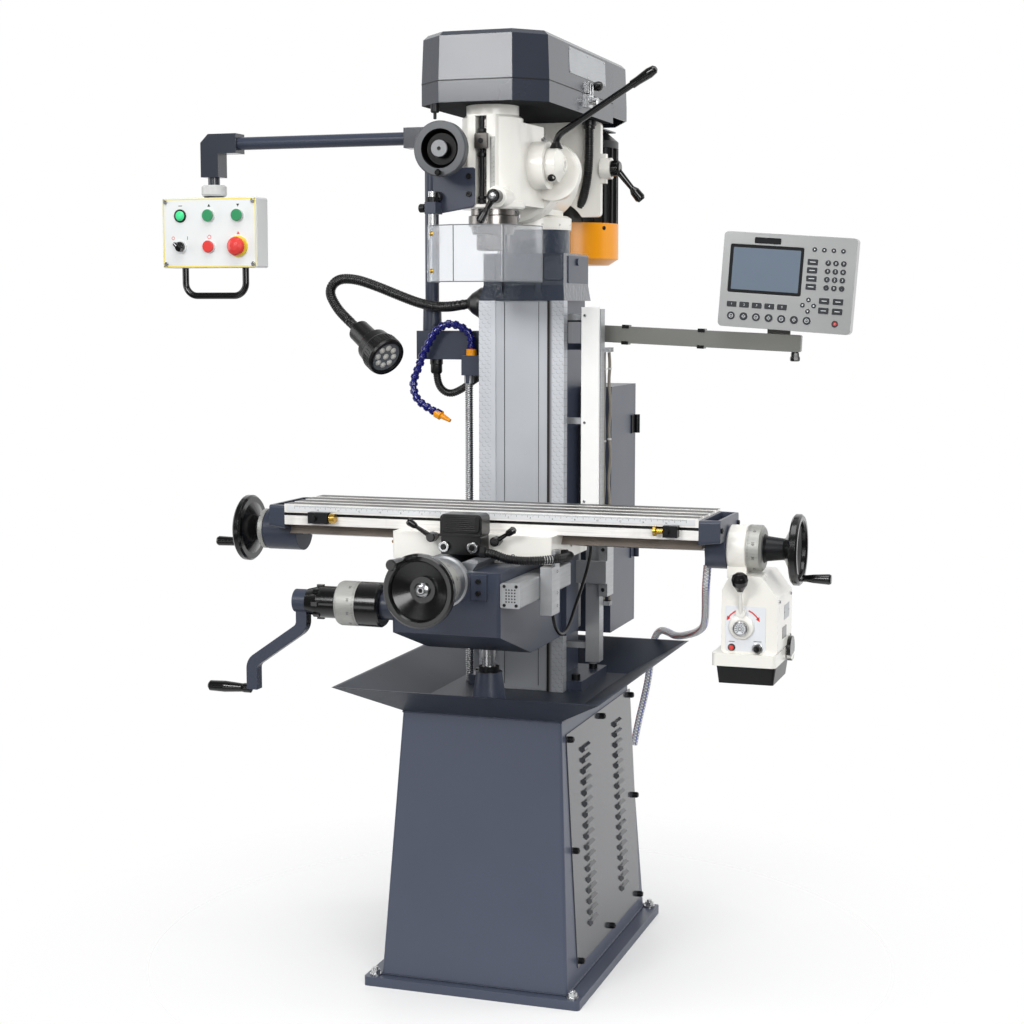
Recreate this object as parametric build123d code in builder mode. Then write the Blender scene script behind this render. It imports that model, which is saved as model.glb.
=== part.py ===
"""Knee-type vertical milling machine on a sheet-steel stand, in millimetres.

+Z is up, the machine faces -Y, and the origin is on the floor in the middle of the base plate.
"""
import os
from math import cos, hypot, radians, sin, tan

from build123d import *

os.makedirs("parts", exist_ok=True)

# Fits
slide_gap = 0.05
run_gap = 0.04
body_gap = 0.3

# Base plate and stand
base_width = 484
base_depth = 680
base_thickness = 20
base_corner = 8
floor_hole = 14
floor_bolt_inset = 20
washer_radius = 13
washer_thickness = 3
bolt_head_radius = 10.5
bolt_head_height = 8
stand_bottom_width = 418
stand_bottom_depth = 634
stand_top_width = 356
stand_top_depth = 528
stand_top_z = 592
stand_sheet = 4
stand_corner = 6
panel_width = 514
panel_height = 506
panel_sheet = 2
panel_shift = 20
panel_screw_inset = 13
louvre_count = 17
louvre_length = 56
louvre_pitch = 24
louvre_depth = 7
louvre_span = 258
panel_lap = 30

# Chip tray
tray_rim_width = 586
tray_rim_depth = 786
tray_rim_height = 65
tray_shift = 13
tray_sheet = 4

# Column
spindle_y = -182
column_face_y = 7
way_width = 198
way_thickness = 26
way_strip = 39
column_width = 144
column_depth = 208
ways_top_z = 1468
neck_width = 186
neck_front_y = 22
column_top_z = 1572
column_wall = 22
foot_width = 270
foot_thickness = 22
foot_bolt_span = 140
neck_rise = 34
turret_y = 100
turret_ring_radius = 82
turret_ring_height = 52
cover_sheet = 3

# Elevating screw
lift_screw_y = -210
lift_screw_radius = 15
lift_screw_length = 620
pedestal_height = 95
pedestal_radius = 37

# Knee
knee_width = 231
knee_front_y = -475
knee_top_z = 930
knee_front_height = 129
knee_height = 193
knee_heel_y = -275
knee_slot = 54
cross_axis_drop = 20
cheek_thickness = 28
keeper_thickness = 16
knee_dovetail_width = 124
knee_dovetail_height = 16
dovetail_angle = 55

# Lifting crank
crank_y = -445
crank_z = 850
crank_bearing_radius = 46
crank_throw = 192
crank_offset = 118
crank_boss = 28

# Saddle
saddle_width = 350
saddle_front_y = -323
saddle_rear_y = -62
saddle_height = 57
table_dovetail_width = 148
table_dovetail_height = 22

# Table
table_length = 914
table_width = 202
table_thickness = 45
table_shift = 14.5
slot_throat = 14
slot_head = 23
slot_depth = 20
slot_head_height = 9
slot_pitch = 56
bracket_length = 42
bracket_wall = 7
table_screw_drop = 68
table_screw_radius = 10
bearing_housing_radius = 45
left_wheel_diameter = 146
right_wheel_diameter = 146
cross_wheel_diameter = 146

# Head and turret
head_axis_z = 1740
flange_radius = 104
flange_y = -22
flange_thickness = 34
barrel_radius = 64
barrel_bottom_z = 1657
barrel_top_z = 1850
quill_radius = 46
spindle_nose_z = 1572
spindle_nose_radius = 34
spindle_bore_radius = 12.08
spindle_radius = 20
lever_hub_y = -107
lever_hub_z = 1752
fine_wheel_diameter = 112
fine_wheel_x = -58
fine_wheel_y = -344
fine_wheel_z = 1773

# Belt guard and motor
guard_floor_z = 1870
guard_seam_z = 1915
guard_top_z = 2014
guard_width = 279
guard_front_y = -292
guard_chamfer = 60
guard_tray_end_y = 252
guard_rear_y = 505
guard_sheet = 3
lid_taper = 4
lid_bevel = 9
motor_y = 385
motor_radius = 104
motor_bottom_z = 1650
fan_cover_bottom_z = 1553
fan_cover_radius = 113
fin_height = 8
fin_count = 20
spindle_pulley_radius = 75
motor_pulley_radius = 50
belt_z = 1940
belt_thickness = 8
groove_width = 14
groove_depth = 10

# Pendant control box
post_x = -253
post_y = 120
post_radius = 16
arm_z = 1838
pendant_x = -808
pendant_width = 250
pendant_depth = 58
pendant_height = 165
pendant_top_z = 1712

# Digital readout
readout_pivot_x = 122
readout_y = 112
readout_arm_z = 1397
readout_arm_length = 482
readout_arm_height = 37
readout_arm_droop = 2.6
readout_width = 287
readout_height = 204
readout_depth = 36
readout_x = 576
readout_z = 1506
readout_tilt = 4

# Cabinet on the back of the column
cabinet_width = 300
cabinet_depth = 200
cabinet_bottom_z = 700
cabinet_top_z = 1272
cabinet_sheet = 2
door_depth = 15


def block(x, y, z, mode=Mode.ADD):
    """Box between pairs of limits, added to the active part."""
    with Locations((sum(x) / 2, sum(y) / 2, sum(z) / 2)):
        Box(x[1] - x[0], y[1] - y[0], z[1] - z[0], mode=mode)


def turned(origin, along, outline, mode=Mode.ADD):
    """Turn an outline of (distance along, radius) points about a line, in the active part."""
    line = Vector(*along).normalized()
    upright = Vector(1, 0, 0) if abs(line.Z) > 0.9 else Vector(0, 0, 1)
    half = Plane(origin=origin, x_dir=line, z_dir=line.cross(upright))
    with BuildSketch(half, mode=Mode.PRIVATE) as profile:
        with BuildLine():
            Polyline(*outline, close=True)
        make_face()
    revolve(profile.sketch, axis=Axis(origin, line), mode=mode)


def rod(origin, along, length, radius, mode=Mode.ADD):
    """Plain round bar from a point along a direction, in the active part."""
    turned(origin, along, [(0, 0), (length, 0), (length, radius), (0, radius)], mode)


def run_radii(points):
    """Largest easy bend at each corner of a cord's route."""
    radii = []
    for before, corner, after in zip(points, points[1:], points[2:]):
        first = Vector(*corner) - Vector(*before)
        second = Vector(*after) - Vector(*corner)
        half_turn = radians(first.get_angle(second)) / 2
        radii.append(0.45 * min(first.length, second.length) / max(tan(half_turn), 0.02))
    return radii


def cord(points, radius):
    """Round cord through a route of straight runs and tangent bends, in the active part."""
    with BuildLine(mode=Mode.PRIVATE) as route:
        FilletPolyline(*points, radius=run_radii(points))
    with BuildSketch(Plane(origin=route.line @ 0, z_dir=route.line % 0), mode=Mode.PRIVATE) as ring:
        Circle(radius)
    sweep(ring.sketch, path=route.line)


def hand_wheel(origin, along, diameter, bore, grip_angle, grip_length):
    """Dished hand wheel with a round rim, a hub nut and a turned grip, in the active part."""
    rim = diameter / 2
    turned(origin, along, [
        (0, bore), (0, 20), (6, 24), (22, rim - 16), (22, rim - 4), (26, rim), (36, rim),
        (40, rim - 4), (40, rim - 12), (36, rim - 15), (30, rim - 16), (14, 26), (14, bore)])
    turned(origin, along, [(13, 0), (24, 0), (24, 11), (21, 15), (13, 15)])
    line = Vector(*along).normalized()
    upright = Vector(0, 0, 1)
    across = upright.cross(line)
    spoke = upright * sin(radians(grip_angle)) + across * cos(radians(grip_angle))
    seat = Vector(*origin) + spoke * (rim - 8) + line * 38
    turned(seat, along, [
        (0, 0), (grip_length, 0), (grip_length, 9), (grip_length - 4, 11), (22, 9), (8, 7), (0, 7)])


# Base plate with four floor bolt holes
floor_span_x = base_width - 2 * floor_bolt_inset
floor_span_y = base_depth - 2 * floor_bolt_inset
with BuildPart() as base_plate:
    with BuildSketch():
        RectangleRounded(base_width, base_depth, base_corner)
        with GridLocations(floor_span_x, floor_span_y, 2, 2):
            Circle(floor_hole / 2, mode=Mode.SUBTRACT)
    extrude(amount=base_thickness)
base_plate.part.label = "base_plate"
export_step(base_plate.part, "parts/base_plate.step")

# Stand, a tapered sheet-steel box open below and behind the louvred panel
stand_lean = (stand_bottom_width - stand_top_width) / 2
stand_rise = stand_top_z - base_thickness
panel_face = Plane(
    origin=((stand_bottom_width + stand_top_width) / 4, panel_shift,
            (stand_top_z + base_thickness) / 2),
    x_dir=(0, 1, 0), z_dir=(stand_rise, 0, stand_lean))
with BuildPart() as stand_cabinet:
    with BuildSketch(Plane.XY.offset(base_thickness)):
        RectangleRounded(stand_bottom_width, stand_bottom_depth, stand_corner)
    with BuildSketch(Plane.XY.offset(stand_top_z)):
        RectangleRounded(stand_top_width, stand_top_depth, stand_corner)
    loft()
    with BuildSketch(Plane.XY.offset(base_thickness)) as inner_bottom:
        Rectangle(stand_bottom_width - 2 * stand_sheet, stand_bottom_depth - 2 * stand_sheet)
    with BuildSketch(Plane.XY.offset(stand_top_z - stand_sheet)) as inner_top:
        Rectangle(stand_top_width - 2 * stand_sheet, stand_top_depth - 2 * stand_sheet)
    loft(sections=[inner_bottom.sketch, inner_top.sketch], mode=Mode.SUBTRACT)
    with BuildSketch(panel_face):
        Rectangle(panel_width - 2 * panel_lap, panel_height - 2 * panel_lap)
    extrude(amount=-40, mode=Mode.SUBTRACT)
    with BuildSketch(Plane.XY.offset(stand_top_z + 1)):
        with Locations((0, lift_screw_y)):
            Circle(lift_screw_radius + 9)
        with Locations((0, turret_y)):
            Rectangle(column_width - 60, 90)
    extrude(amount=-stand_sheet - 2, mode=Mode.SUBTRACT)
stand_cabinet.part.label = "stand_cabinet"
export_step(stand_cabinet.part, "parts/stand_cabinet.step")

# Removable side panel with two columns of pressed louvres
with BuildPart() as stand_panel:
    with BuildSketch(panel_face):
        RectangleRounded(panel_width, panel_height, 4)
        with GridLocations(louvre_span, louvre_pitch, 2, louvre_count):
            Rectangle(louvre_length - 8, 4, mode=Mode.SUBTRACT)
    extrude(amount=panel_sheet)
    with BuildSketch(panel_face.offset(panel_sheet)):
        with GridLocations(louvre_span, louvre_pitch, 2, louvre_count):
            with Locations((0, louvre_depth)):
                Rectangle(louvre_length, 2 * louvre_depth)
    extrude(amount=louvre_depth, taper=30)
    with BuildSketch(panel_face.offset(panel_sheet)):
        with GridLocations(louvre_span, louvre_pitch, 2, louvre_count):
            with Locations((0, louvre_depth / 2 - 1)):
                Rectangle(louvre_length - 8, louvre_depth - 1)
    extrude(amount=louvre_depth - 2, mode=Mode.SUBTRACT)
stand_panel.part.label = "stand_panel"
export_step(stand_panel.part, "parts/stand_panel.step")

# Chip tray, a shallow pan with sloping sides that lies on the stand
tray_floor_z = stand_top_z + tray_sheet
tray_rim_z = stand_top_z + tray_rim_height
with BuildPart() as chip_tray:
    with BuildSketch(Plane.XY.offset(stand_top_z)):
        Rectangle(stand_top_width, stand_top_depth)
    with BuildSketch(Plane.XY.offset(tray_rim_z)):
        with Locations((0, tray_shift)):
            Rectangle(tray_rim_width, tray_rim_depth)
    loft(ruled=True)
    with BuildSketch(Plane.XY.offset(tray_floor_z)) as pan_floor:
        Rectangle(stand_top_width, stand_top_depth)
    with BuildSketch(Plane.XY.offset(tray_rim_z + tray_sheet)) as pan_mouth:
        with Locations((0, tray_shift)):
            Rectangle(tray_rim_width, tray_rim_depth)
    loft(sections=[pan_floor.sketch, pan_mouth.sketch], ruled=True, mode=Mode.SUBTRACT)
    with BuildSketch(Plane.XY.offset(stand_top_z)):
        with Locations((0, lift_screw_y)):
            Circle(lift_screw_radius + 9)
        with Locations((0, turret_y)):
            Rectangle(column_width - 60, 90)
    extrude(amount=tray_sheet + 1, mode=Mode.SUBTRACT)
chip_tray.part.label = "chip_tray"
export_step(chip_tray.part, "parts/chip_tray.step")

# Column casting: foot, wide ways in front of a hollow body, neck and turret ring
column_rear_y = column_face_y + column_depth
foot_span_x = foot_width - 40
foot_rear_y = column_rear_y + 28
foot_bolt_y = turret_y + 25
neck_bottom_z = ways_top_z + neck_rise
foot_top_z = tray_floor_z + foot_thickness
with BuildPart() as column:
    with BuildSketch(Plane.XY.offset(tray_floor_z)):
        with Locations((0, column_face_y + way_thickness / 2)):
            Rectangle(way_width, way_thickness)
        with Locations((0, (column_face_y + column_rear_y) / 2)):
            Rectangle(column_width, column_depth)
    extrude(amount=ways_top_z - tray_floor_z)
    with BuildSketch(Plane.XY.offset(tray_floor_z)):
        with Locations((0, (column_face_y + way_thickness + foot_rear_y) / 2)):
            Rectangle(foot_width, foot_rear_y - column_face_y - way_thickness)
    extrude(amount=foot_thickness)
    with BuildSketch(Plane.XY.offset(ways_top_z)):
        with Locations((0, (column_face_y + column_rear_y) / 2)):
            Rectangle(way_width, column_depth)
    with BuildSketch(Plane.XY.offset(neck_bottom_z)):
        with Locations((0, (neck_front_y + column_rear_y) / 2)):
            Rectangle(neck_width, column_rear_y - neck_front_y)
    loft(ruled=True)
    with BuildSketch(Plane.XY.offset(neck_bottom_z)):
        with Locations((0, (neck_front_y + column_rear_y) / 2)):
            Rectangle(neck_width, column_rear_y - neck_front_y)
    extrude(amount=column_top_z - neck_bottom_z)
    with BuildSketch(Plane.XY.offset(column_top_z)):
        with Locations((0, turret_y)):
            Circle(turret_ring_radius)
    extrude(amount=turret_ring_height)
    with BuildSketch(Plane.XY.offset(tray_floor_z)):
        with Locations((0, column_face_y + cover_sheet)):
            Rectangle(way_width - 2 * way_strip, 2 * cover_sheet)
    extrude(amount=ways_top_z - tray_floor_z, mode=Mode.SUBTRACT)
    with BuildSketch(Plane.XY.offset(tray_floor_z)):
        with Locations((0, (column_face_y + way_thickness + column_rear_y) / 2)):
            Rectangle(column_width - 2 * column_wall, column_depth - way_thickness - 2 * column_wall)
    extrude(amount=ways_top_z - tray_floor_z, mode=Mode.SUBTRACT)
    with BuildSketch(Plane.XY.offset(tray_floor_z)):
        with Locations((0, foot_bolt_y)):
            with GridLocations(foot_span_x, foot_bolt_span, 2, 2):
                Circle(7)
    extrude(amount=foot_thickness, mode=Mode.SUBTRACT)
    fillet(column.edges().filter_by(Axis.Z).group_by(Axis.Y)[-1], 5)
column.part.label = "column"
export_step(column.part, "parts/column.step")

# Folded cover between the two ways
with BuildPart() as way_cover:
    with BuildSketch(Plane.XY.offset(tray_floor_z + 2)):
        with Locations((0, column_face_y + 1.5 * cover_sheet + 0.4)):
            Rectangle(way_width - 2 * way_strip, cover_sheet - 0.8)
        with GridLocations(way_width - 2 * way_strip - 20, 1, 2, 1):
            with Locations((0, column_face_y + 1.25 * cover_sheet)):
                Rectangle(20, cover_sheet / 2)
    extrude(amount=ways_top_z - tray_floor_z - 4)
way_cover.part.label = "way_cover"
export_step(way_cover.part, "parts/way_cover.step")

# Pedestal with the bronze nut of the elevating screw
with BuildPart() as lift_nut:
    turned((0, lift_screw_y, tray_floor_z), (0, 0, 1), [
        (0, lift_screw_radius + run_gap), (0, pedestal_radius + 10), (12, pedestal_radius + 10),
        (14, pedestal_radius), (pedestal_height - 12, pedestal_radius - 9),
        (pedestal_height - 12, 22), (pedestal_height, 22),
        (pedestal_height, lift_screw_radius + run_gap)])
lift_nut.part.label = "lift_nut"
export_step(lift_nut.part, "parts/lift_nut.step")

# Floor bolts, column bolts and panel screws
with BuildPart() as stand_fasteners:
    with BuildSketch(Plane.XY.offset(base_thickness)):
        with GridLocations(floor_span_x, floor_span_y, 2, 2):
            Circle(washer_radius)
    extrude(amount=washer_thickness)
    with BuildSketch(Plane.XY.offset(base_thickness + washer_thickness)):
        with GridLocations(floor_span_x, floor_span_y, 2, 2):
            RegularPolygon(bolt_head_radius, 6)
    extrude(amount=bolt_head_height)
    with BuildSketch():
        with GridLocations(floor_span_x, floor_span_y, 2, 2):
            Circle(floor_hole / 2 - 1)
    extrude(amount=base_thickness + washer_thickness + 1)
    with BuildSketch(Plane.XY.offset(foot_top_z)):
        with Locations((0, foot_bolt_y)):
            with GridLocations(foot_span_x, foot_bolt_span, 2, 2):
                Circle(10)
    extrude(amount=12)
    with BuildSketch(Plane.XY.offset(tray_floor_z)):
        with Locations((0, foot_bolt_y)):
            with GridLocations(foot_span_x, foot_bolt_span, 2, 2):
                Circle(6)
    extrude(amount=foot_thickness + 1)
    screw_span_x = panel_width - 2 * panel_screw_inset
    screw_span_y = panel_height - 2 * panel_screw_inset
    with BuildSketch(panel_face.offset(panel_sheet)):
        with GridLocations(screw_span_x / 2, screw_span_y, 3, 2):
            Circle(7)
        with GridLocations(screw_span_x, 1, 2, 1):
            Circle(7)
    extrude(amount=9)
stand_fasteners.part.label = "stand_fasteners"
export_step(stand_fasteners.part, "parts/stand_fasteners.step")

# Electrical cabinet behind the column, with its rail of control gear and the neck's side cover
cabinet_front_y = column_rear_y
cabinet_rear_y = cabinet_front_y + cabinet_depth
with BuildPart() as electric_box:
    block((-cabinet_width / 2, cabinet_width / 2), (cabinet_front_y, cabinet_rear_y),
          (cabinet_bottom_z, cabinet_top_z))
    inside = cabinet_width / 2 - cabinet_sheet
    block((-inside, inside), (cabinet_front_y + cabinet_sheet, cabinet_rear_y),
          (cabinet_bottom_z + cabinet_sheet, cabinet_top_z - cabinet_sheet), Mode.SUBTRACT)
    with BuildSketch(Plane.XZ.offset(-cabinet_front_y - cabinet_sheet)):
        with Locations((0, (cabinet_bottom_z + cabinet_top_z) / 2)):
            with GridLocations(1, 220, 1, 2):
                Rectangle(cabinet_width - 60, 16)
    extrude(amount=-8)
    with BuildSketch(Plane.XZ.offset(-cabinet_front_y - cabinet_sheet)):
        with Locations((0, (cabinet_bottom_z + cabinet_top_z) / 2)):
            with GridLocations(62, 220, 3, 2):
                Rectangle(45, 78)
    extrude(amount=-76)
    with BuildSketch(Plane.YZ.offset(cabinet_width / 2)):
        with Locations((cabinet_rear_y - 14, (cabinet_bottom_z + cabinet_top_z) / 2 + 40)):
            with GridLocations(1, 300, 1, 2):
                Rectangle(24, 44)
    extrude(amount=3)
    with BuildSketch(Plane.YZ.offset(neck_width / 2)):
        with Locations(((neck_front_y + column_rear_y) / 2 + 12, (neck_bottom_z + column_top_z) / 2)):
            RectangleRounded(column_rear_y - neck_front_y - 40, column_top_z - neck_bottom_z - 10, 4)
    extrude(amount=2)
    rod((neck_width / 2 + 2, turret_y + 20, column_top_z - 18), (1, 0, 0), 4, 8)
electric_box.part.label = "electric_box"
export_step(electric_box.part, "parts/electric_box.step")

# Cabinet door, hinged on the right
hinge_x = cabinet_width / 2 + 7
hinge_y = cabinet_rear_y + door_depth / 2
with BuildPart() as electric_door:
    door_front_y = cabinet_rear_y + body_gap
    block((-cabinet_width / 2, cabinet_width / 2), (door_front_y, cabinet_rear_y + door_depth),
          (cabinet_bottom_z, cabinet_top_z))
    block((-cabinet_width / 2 + 2, cabinet_width / 2 - 2),
          (door_front_y, cabinet_rear_y + door_depth - 2),
          (cabinet_bottom_z + 2, cabinet_top_z - 2), Mode.SUBTRACT)
    for lift in (-150, 150):
        hinge_z = (cabinet_bottom_z + cabinet_top_z) / 2 + 40 + lift
        rod((hinge_x, hinge_y, hinge_z - 22), (0, 0, 1), 44, 6)
        block((cabinet_width / 2 - 2, hinge_x), (hinge_y, hinge_y + 4), (hinge_z - 22, hinge_z + 22))
    rod((-cabinet_width / 2 + 22, cabinet_rear_y + door_depth, 985), (0, 1, 0), 6, 11)
electric_door.part.label = "electric_door"
export_step(electric_door.part, "parts/electric_door.step")

# Work lamp on a goose neck, from the left side of the column
lamp_y = 80
lamp_neck_radius = 11
lamp_aim = (0.75, -0.44, -0.50)
lamp_route = [
    (-146, lamp_y, 1462), (-205, lamp_y, 1452), (-262, lamp_y, 1460), (-318, lamp_y, 1480),
    (-372, lamp_y, 1501), (-428, lamp_y, 1519), (-474, lamp_y, 1519), (-496, lamp_y, 1490),
    (-474, lamp_y, 1450), (-444, lamp_y - 6, 1424), (-414, lamp_y - 18, 1402)]
with BuildPart() as work_lamp:
    turned((-column_width / 2, lamp_y, 1462), (-1, 0, 0), [
        (0, 0), (78, 0), (78, 13), (66, 24), (46, 36), (32, 36), (28, 30), (28, 5.5), (0, 5.5)])
    cord(lamp_route, lamp_neck_radius)
    turned(lamp_route[-1], lamp_aim, [
        (-8, 0), (118, 0), (118, 37), (126, 37), (126, 44), (120, 46), (92, 45), (88, 43),
        (66, 40), (62, 34), (58, 33), (54, 27), (4, 26), (-8, 16)])
work_lamp.part.label = "work_lamp"
export_step(work_lamp.part, "parts/work_lamp.step")

# Coolant: manifold block, jointed blue hose and nozzle, and the tank and pump in the stand
coolant_x = -148
coolant_y = 72
coolant_block_z = 1300
coolant_block_height = 45
hose_segment = 17
hose_radius = 10
hose_route = [
    (coolant_x + 8, coolant_y, 1359.3), (coolant_x + 8, coolant_y, 1392), (-166, coolant_y - 4, 1412),
    (-196, coolant_y - 8, 1418), (-224, coolant_y - 10, 1400), (-244, coolant_y - 12, 1366),
    (-262, coolant_y - 14, 1322), (-278, coolant_y - 16, 1280), (-268, coolant_y - 18, 1244),
    (-236, coolant_y - 20, 1224), (-216, coolant_y - 22, 1214)]
with BuildPart() as coolant_line:
    block((coolant_x - 12, -column_width / 2), (coolant_y - 13, coolant_y + 13),
          (coolant_block_z, coolant_block_z + coolant_block_height))
    rod((coolant_x + 8, coolant_y, coolant_block_z + coolant_block_height), (0, 0, 1), 14, 12)
    with BuildLine(mode=Mode.PRIVATE) as hose_line:
        FilletPolyline(*hose_route, radius=run_radii(hose_route))
    hose_path = hose_line.wires()[0]
    segment_count = round(hose_path.length / hose_segment)
    hose_rings = []
    for number in range(segment_count):
        for part_way, drawn_in in ((0, 3), (0.1, 0.6), (0.5, 0), (0.7, 3)):
            share = (number + part_way) / segment_count
            ring_plane = Plane(origin=hose_path @ share, x_dir=(0, 1, 0), z_dir=hose_path % share)
            with BuildSketch(ring_plane, mode=Mode.PRIVATE) as hose_ring:
                Circle(hose_radius - drawn_in)
            hose_rings.append(hose_ring.sketch)
    loft(sections=hose_rings, ruled=True)
    with BuildSketch(Plane(origin=hose_path @ 0, z_dir=hose_path % 0), mode=Mode.PRIVATE) as hose_bore:
        Circle(hose_radius / 2 - 1)
    sweep(hose_bore.sketch, path=hose_path, mode=Mode.SUBTRACT)
    turned(hose_path @ 0.988, hose_path % 1, [
        (0, 0), (42, 0), (42, 4), (18, 7), (16, 11), (2, 11), (0, 8)])
    rod((coolant_x + 2, coolant_y, tray_floor_z + body_gap), (0, 0, 1),
        coolant_block_z - tray_floor_z - body_gap, 8)
    rod((coolant_x + 2, coolant_y, coolant_block_z - 18), (0, 0, 1), 18, 11)
    block((-140, 140), (40, 270), (base_thickness, 150))
    turned((60, 150, 150), (0, 0, 1),
           [(0, 0), (150, 0), (150, 34), (140, 44), (20, 44), (16, 60), (0, 60)])
coolant_line.part.label = "coolant_line"
export_step(coolant_line.part, "parts/coolant_line.step")

# Black conduit of the pendant post and the two readout cables down the column
conduit_y = post_y - 14
with BuildPart() as column_cables:
    cord([(-238, conduit_y, 1324), (-238, conduit_y, 1298), (-230, conduit_y, 1268),
          (-206, conduit_y, 1254),
          (-176, conduit_y, 1266), (-140, conduit_y, 1292), (-104, conduit_y, 1312),
          (-72.5, conduit_y, 1312)], 9)
    cord([(178, 92, 1354), (181, 92, 1325), (177, 93, 1290), (183, 92, 1235), (177, 93, 1180),
          (184, 92, 1125),
          (177, 93, 1070), (182, 92, 1015), (177, 93, 960), (184, 92, 905), (177, 93, 850),
          (182, 92, 797)], 3.5)
    cord([(167, 94, 1354), (166, 94, 1325), (168, 95, 1285), (165, 94, 1230), (168, 95, 1175),
          (165, 94, 1120),
          (168, 95, 1065), (165, 94, 1010), (168, 95, 955), (165, 94, 900), (168, 95, 845),
          (167, 94, 797)], 3.5)
column_cables.part.label = "column_cables"
export_step(column_cables.part, "parts/column_cables.step")

# Vertical measuring scale with its white cover, its stays and the readout's pivot bracket
scale_x = 140
scale_width = 32
scale_front_y = 45
scale_depth = 33
scale_bottom_z = 662
scale_cover_bottom_z = 1008
cable_top_z = 1360
cable_bottom_z = 791
with BuildPart() as z_scale:
    block((scale_x, scale_x + scale_width), (scale_front_y, scale_front_y + scale_depth),
          (scale_bottom_z, ways_top_z - 18))
    block((scale_x - 8, scale_x + scale_width), (scale_front_y - 15, scale_front_y - 7),
          (scale_cover_bottom_z, ways_top_z - 14))
    for stay_z in (690, 1195, 1425):
        block((column_width / 2, scale_x), (scale_front_y + 12, scale_front_y + 28),
              (stay_z, stay_z + 14))
    for stay_z in (1195, 1425):
        block((scale_x - 8, scale_x - 4), (scale_front_y - 15, scale_front_y + 28),
              (stay_z, stay_z + 14))
    block((column_width / 2, readout_pivot_x + 16), (readout_y - 18, readout_y + 18),
          (readout_arm_z - 38, readout_arm_z - 24))
    block((column_width / 2, readout_pivot_x + 16), (readout_y - 18, readout_y + 18),
          (readout_arm_z + 24, readout_arm_z + 38))
    rod((readout_pivot_x, readout_y, readout_arm_z - 38), (0, 0, 1), 76, 6)
    block((column_width / 2, column_width / 2 + 10), (readout_y - 18, readout_y + 18),
          (readout_arm_z - 38, readout_arm_z + 38))
    for clip_z in (cable_bottom_z, cable_top_z):
        block((scale_x + 20, scale_x + scale_width + 14), (scale_front_y + scale_depth, 100),
              (clip_z - 5, clip_z + 5))
z_scale.part.label = "z_scale"
export_step(z_scale.part, "parts/z_scale.step")

# Pendant post and its bracket on the left of the column
post_bracket_z = 1335
post_bracket_height = 65
post_top_z = arm_z - 30
with BuildPart() as pendant_post:
    block((post_x - 26, -column_width / 2), (post_y - 34, post_y + 34),
          (post_bracket_z, post_bracket_z + post_bracket_height))
    turned((post_x, post_y, post_bracket_z), (0, 0, 1), [
        (0, 0), (post_top_z - post_bracket_z, 0), (post_top_z - post_bracket_z, post_radius),
        (122, post_radius), (118, post_radius + 5), (post_bracket_height, post_radius + 6),
        (0, post_radius + 6)])
    rod((-238, conduit_y, post_bracket_z - 10), (0, 0, 1), 12, 13)
pendant_post.part.label = "pendant_post"
export_step(pendant_post.part, "parts/pendant_post.step")

# Pendant arm: two cast elbows, a tube between them and the drop to the swivel
elbow = 46
drop_bottom_z = pendant_top_z + 4
with BuildPart() as pendant_arm:
    block((post_x - 60, post_x + elbow / 2), (post_y - elbow / 2, post_y + elbow / 2),
          (arm_z - elbow / 2, arm_z + elbow / 2))
    block((post_x - elbow / 2, post_x + elbow / 2), (post_y - elbow / 2, post_y + elbow / 2),
          (arm_z - 62, arm_z))
    block((pendant_x - elbow / 2, pendant_x + 70), (post_y - elbow / 2, post_y + elbow / 2),
          (arm_z - elbow / 2, arm_z + elbow / 2))
    block((pendant_x - elbow / 2, pendant_x + elbow / 2), (post_y - elbow / 2, post_y + elbow / 2),
          (arm_z - 78, arm_z))
    top_edges = pendant_arm.edges().filter_by(Axis.Y).group_by(Axis.Z)[-1].sort_by(Axis.X)
    chamfer([top_edges[0], top_edges[-1]], 20)
    rod((pendant_x, post_y, arm_z), (1, 0, 0), post_x - pendant_x, 15)
    rod((pendant_x, post_y, drop_bottom_z), (0, 0, 1), arm_z - drop_bottom_z, 14)
    turned((pendant_x, post_y, drop_bottom_z), (0, 0, 1),
           [(0, 0), (26, 0), (26, 26), (22, 30), (4, 30), (0, 27)])
    rod((post_x, post_y, arm_z - 62), (0, 0, 1), 32, post_radius + run_gap, Mode.SUBTRACT)
pendant_arm.part.label = "pendant_arm"
export_step(pendant_arm.part, "parts/pendant_arm.step")

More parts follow.
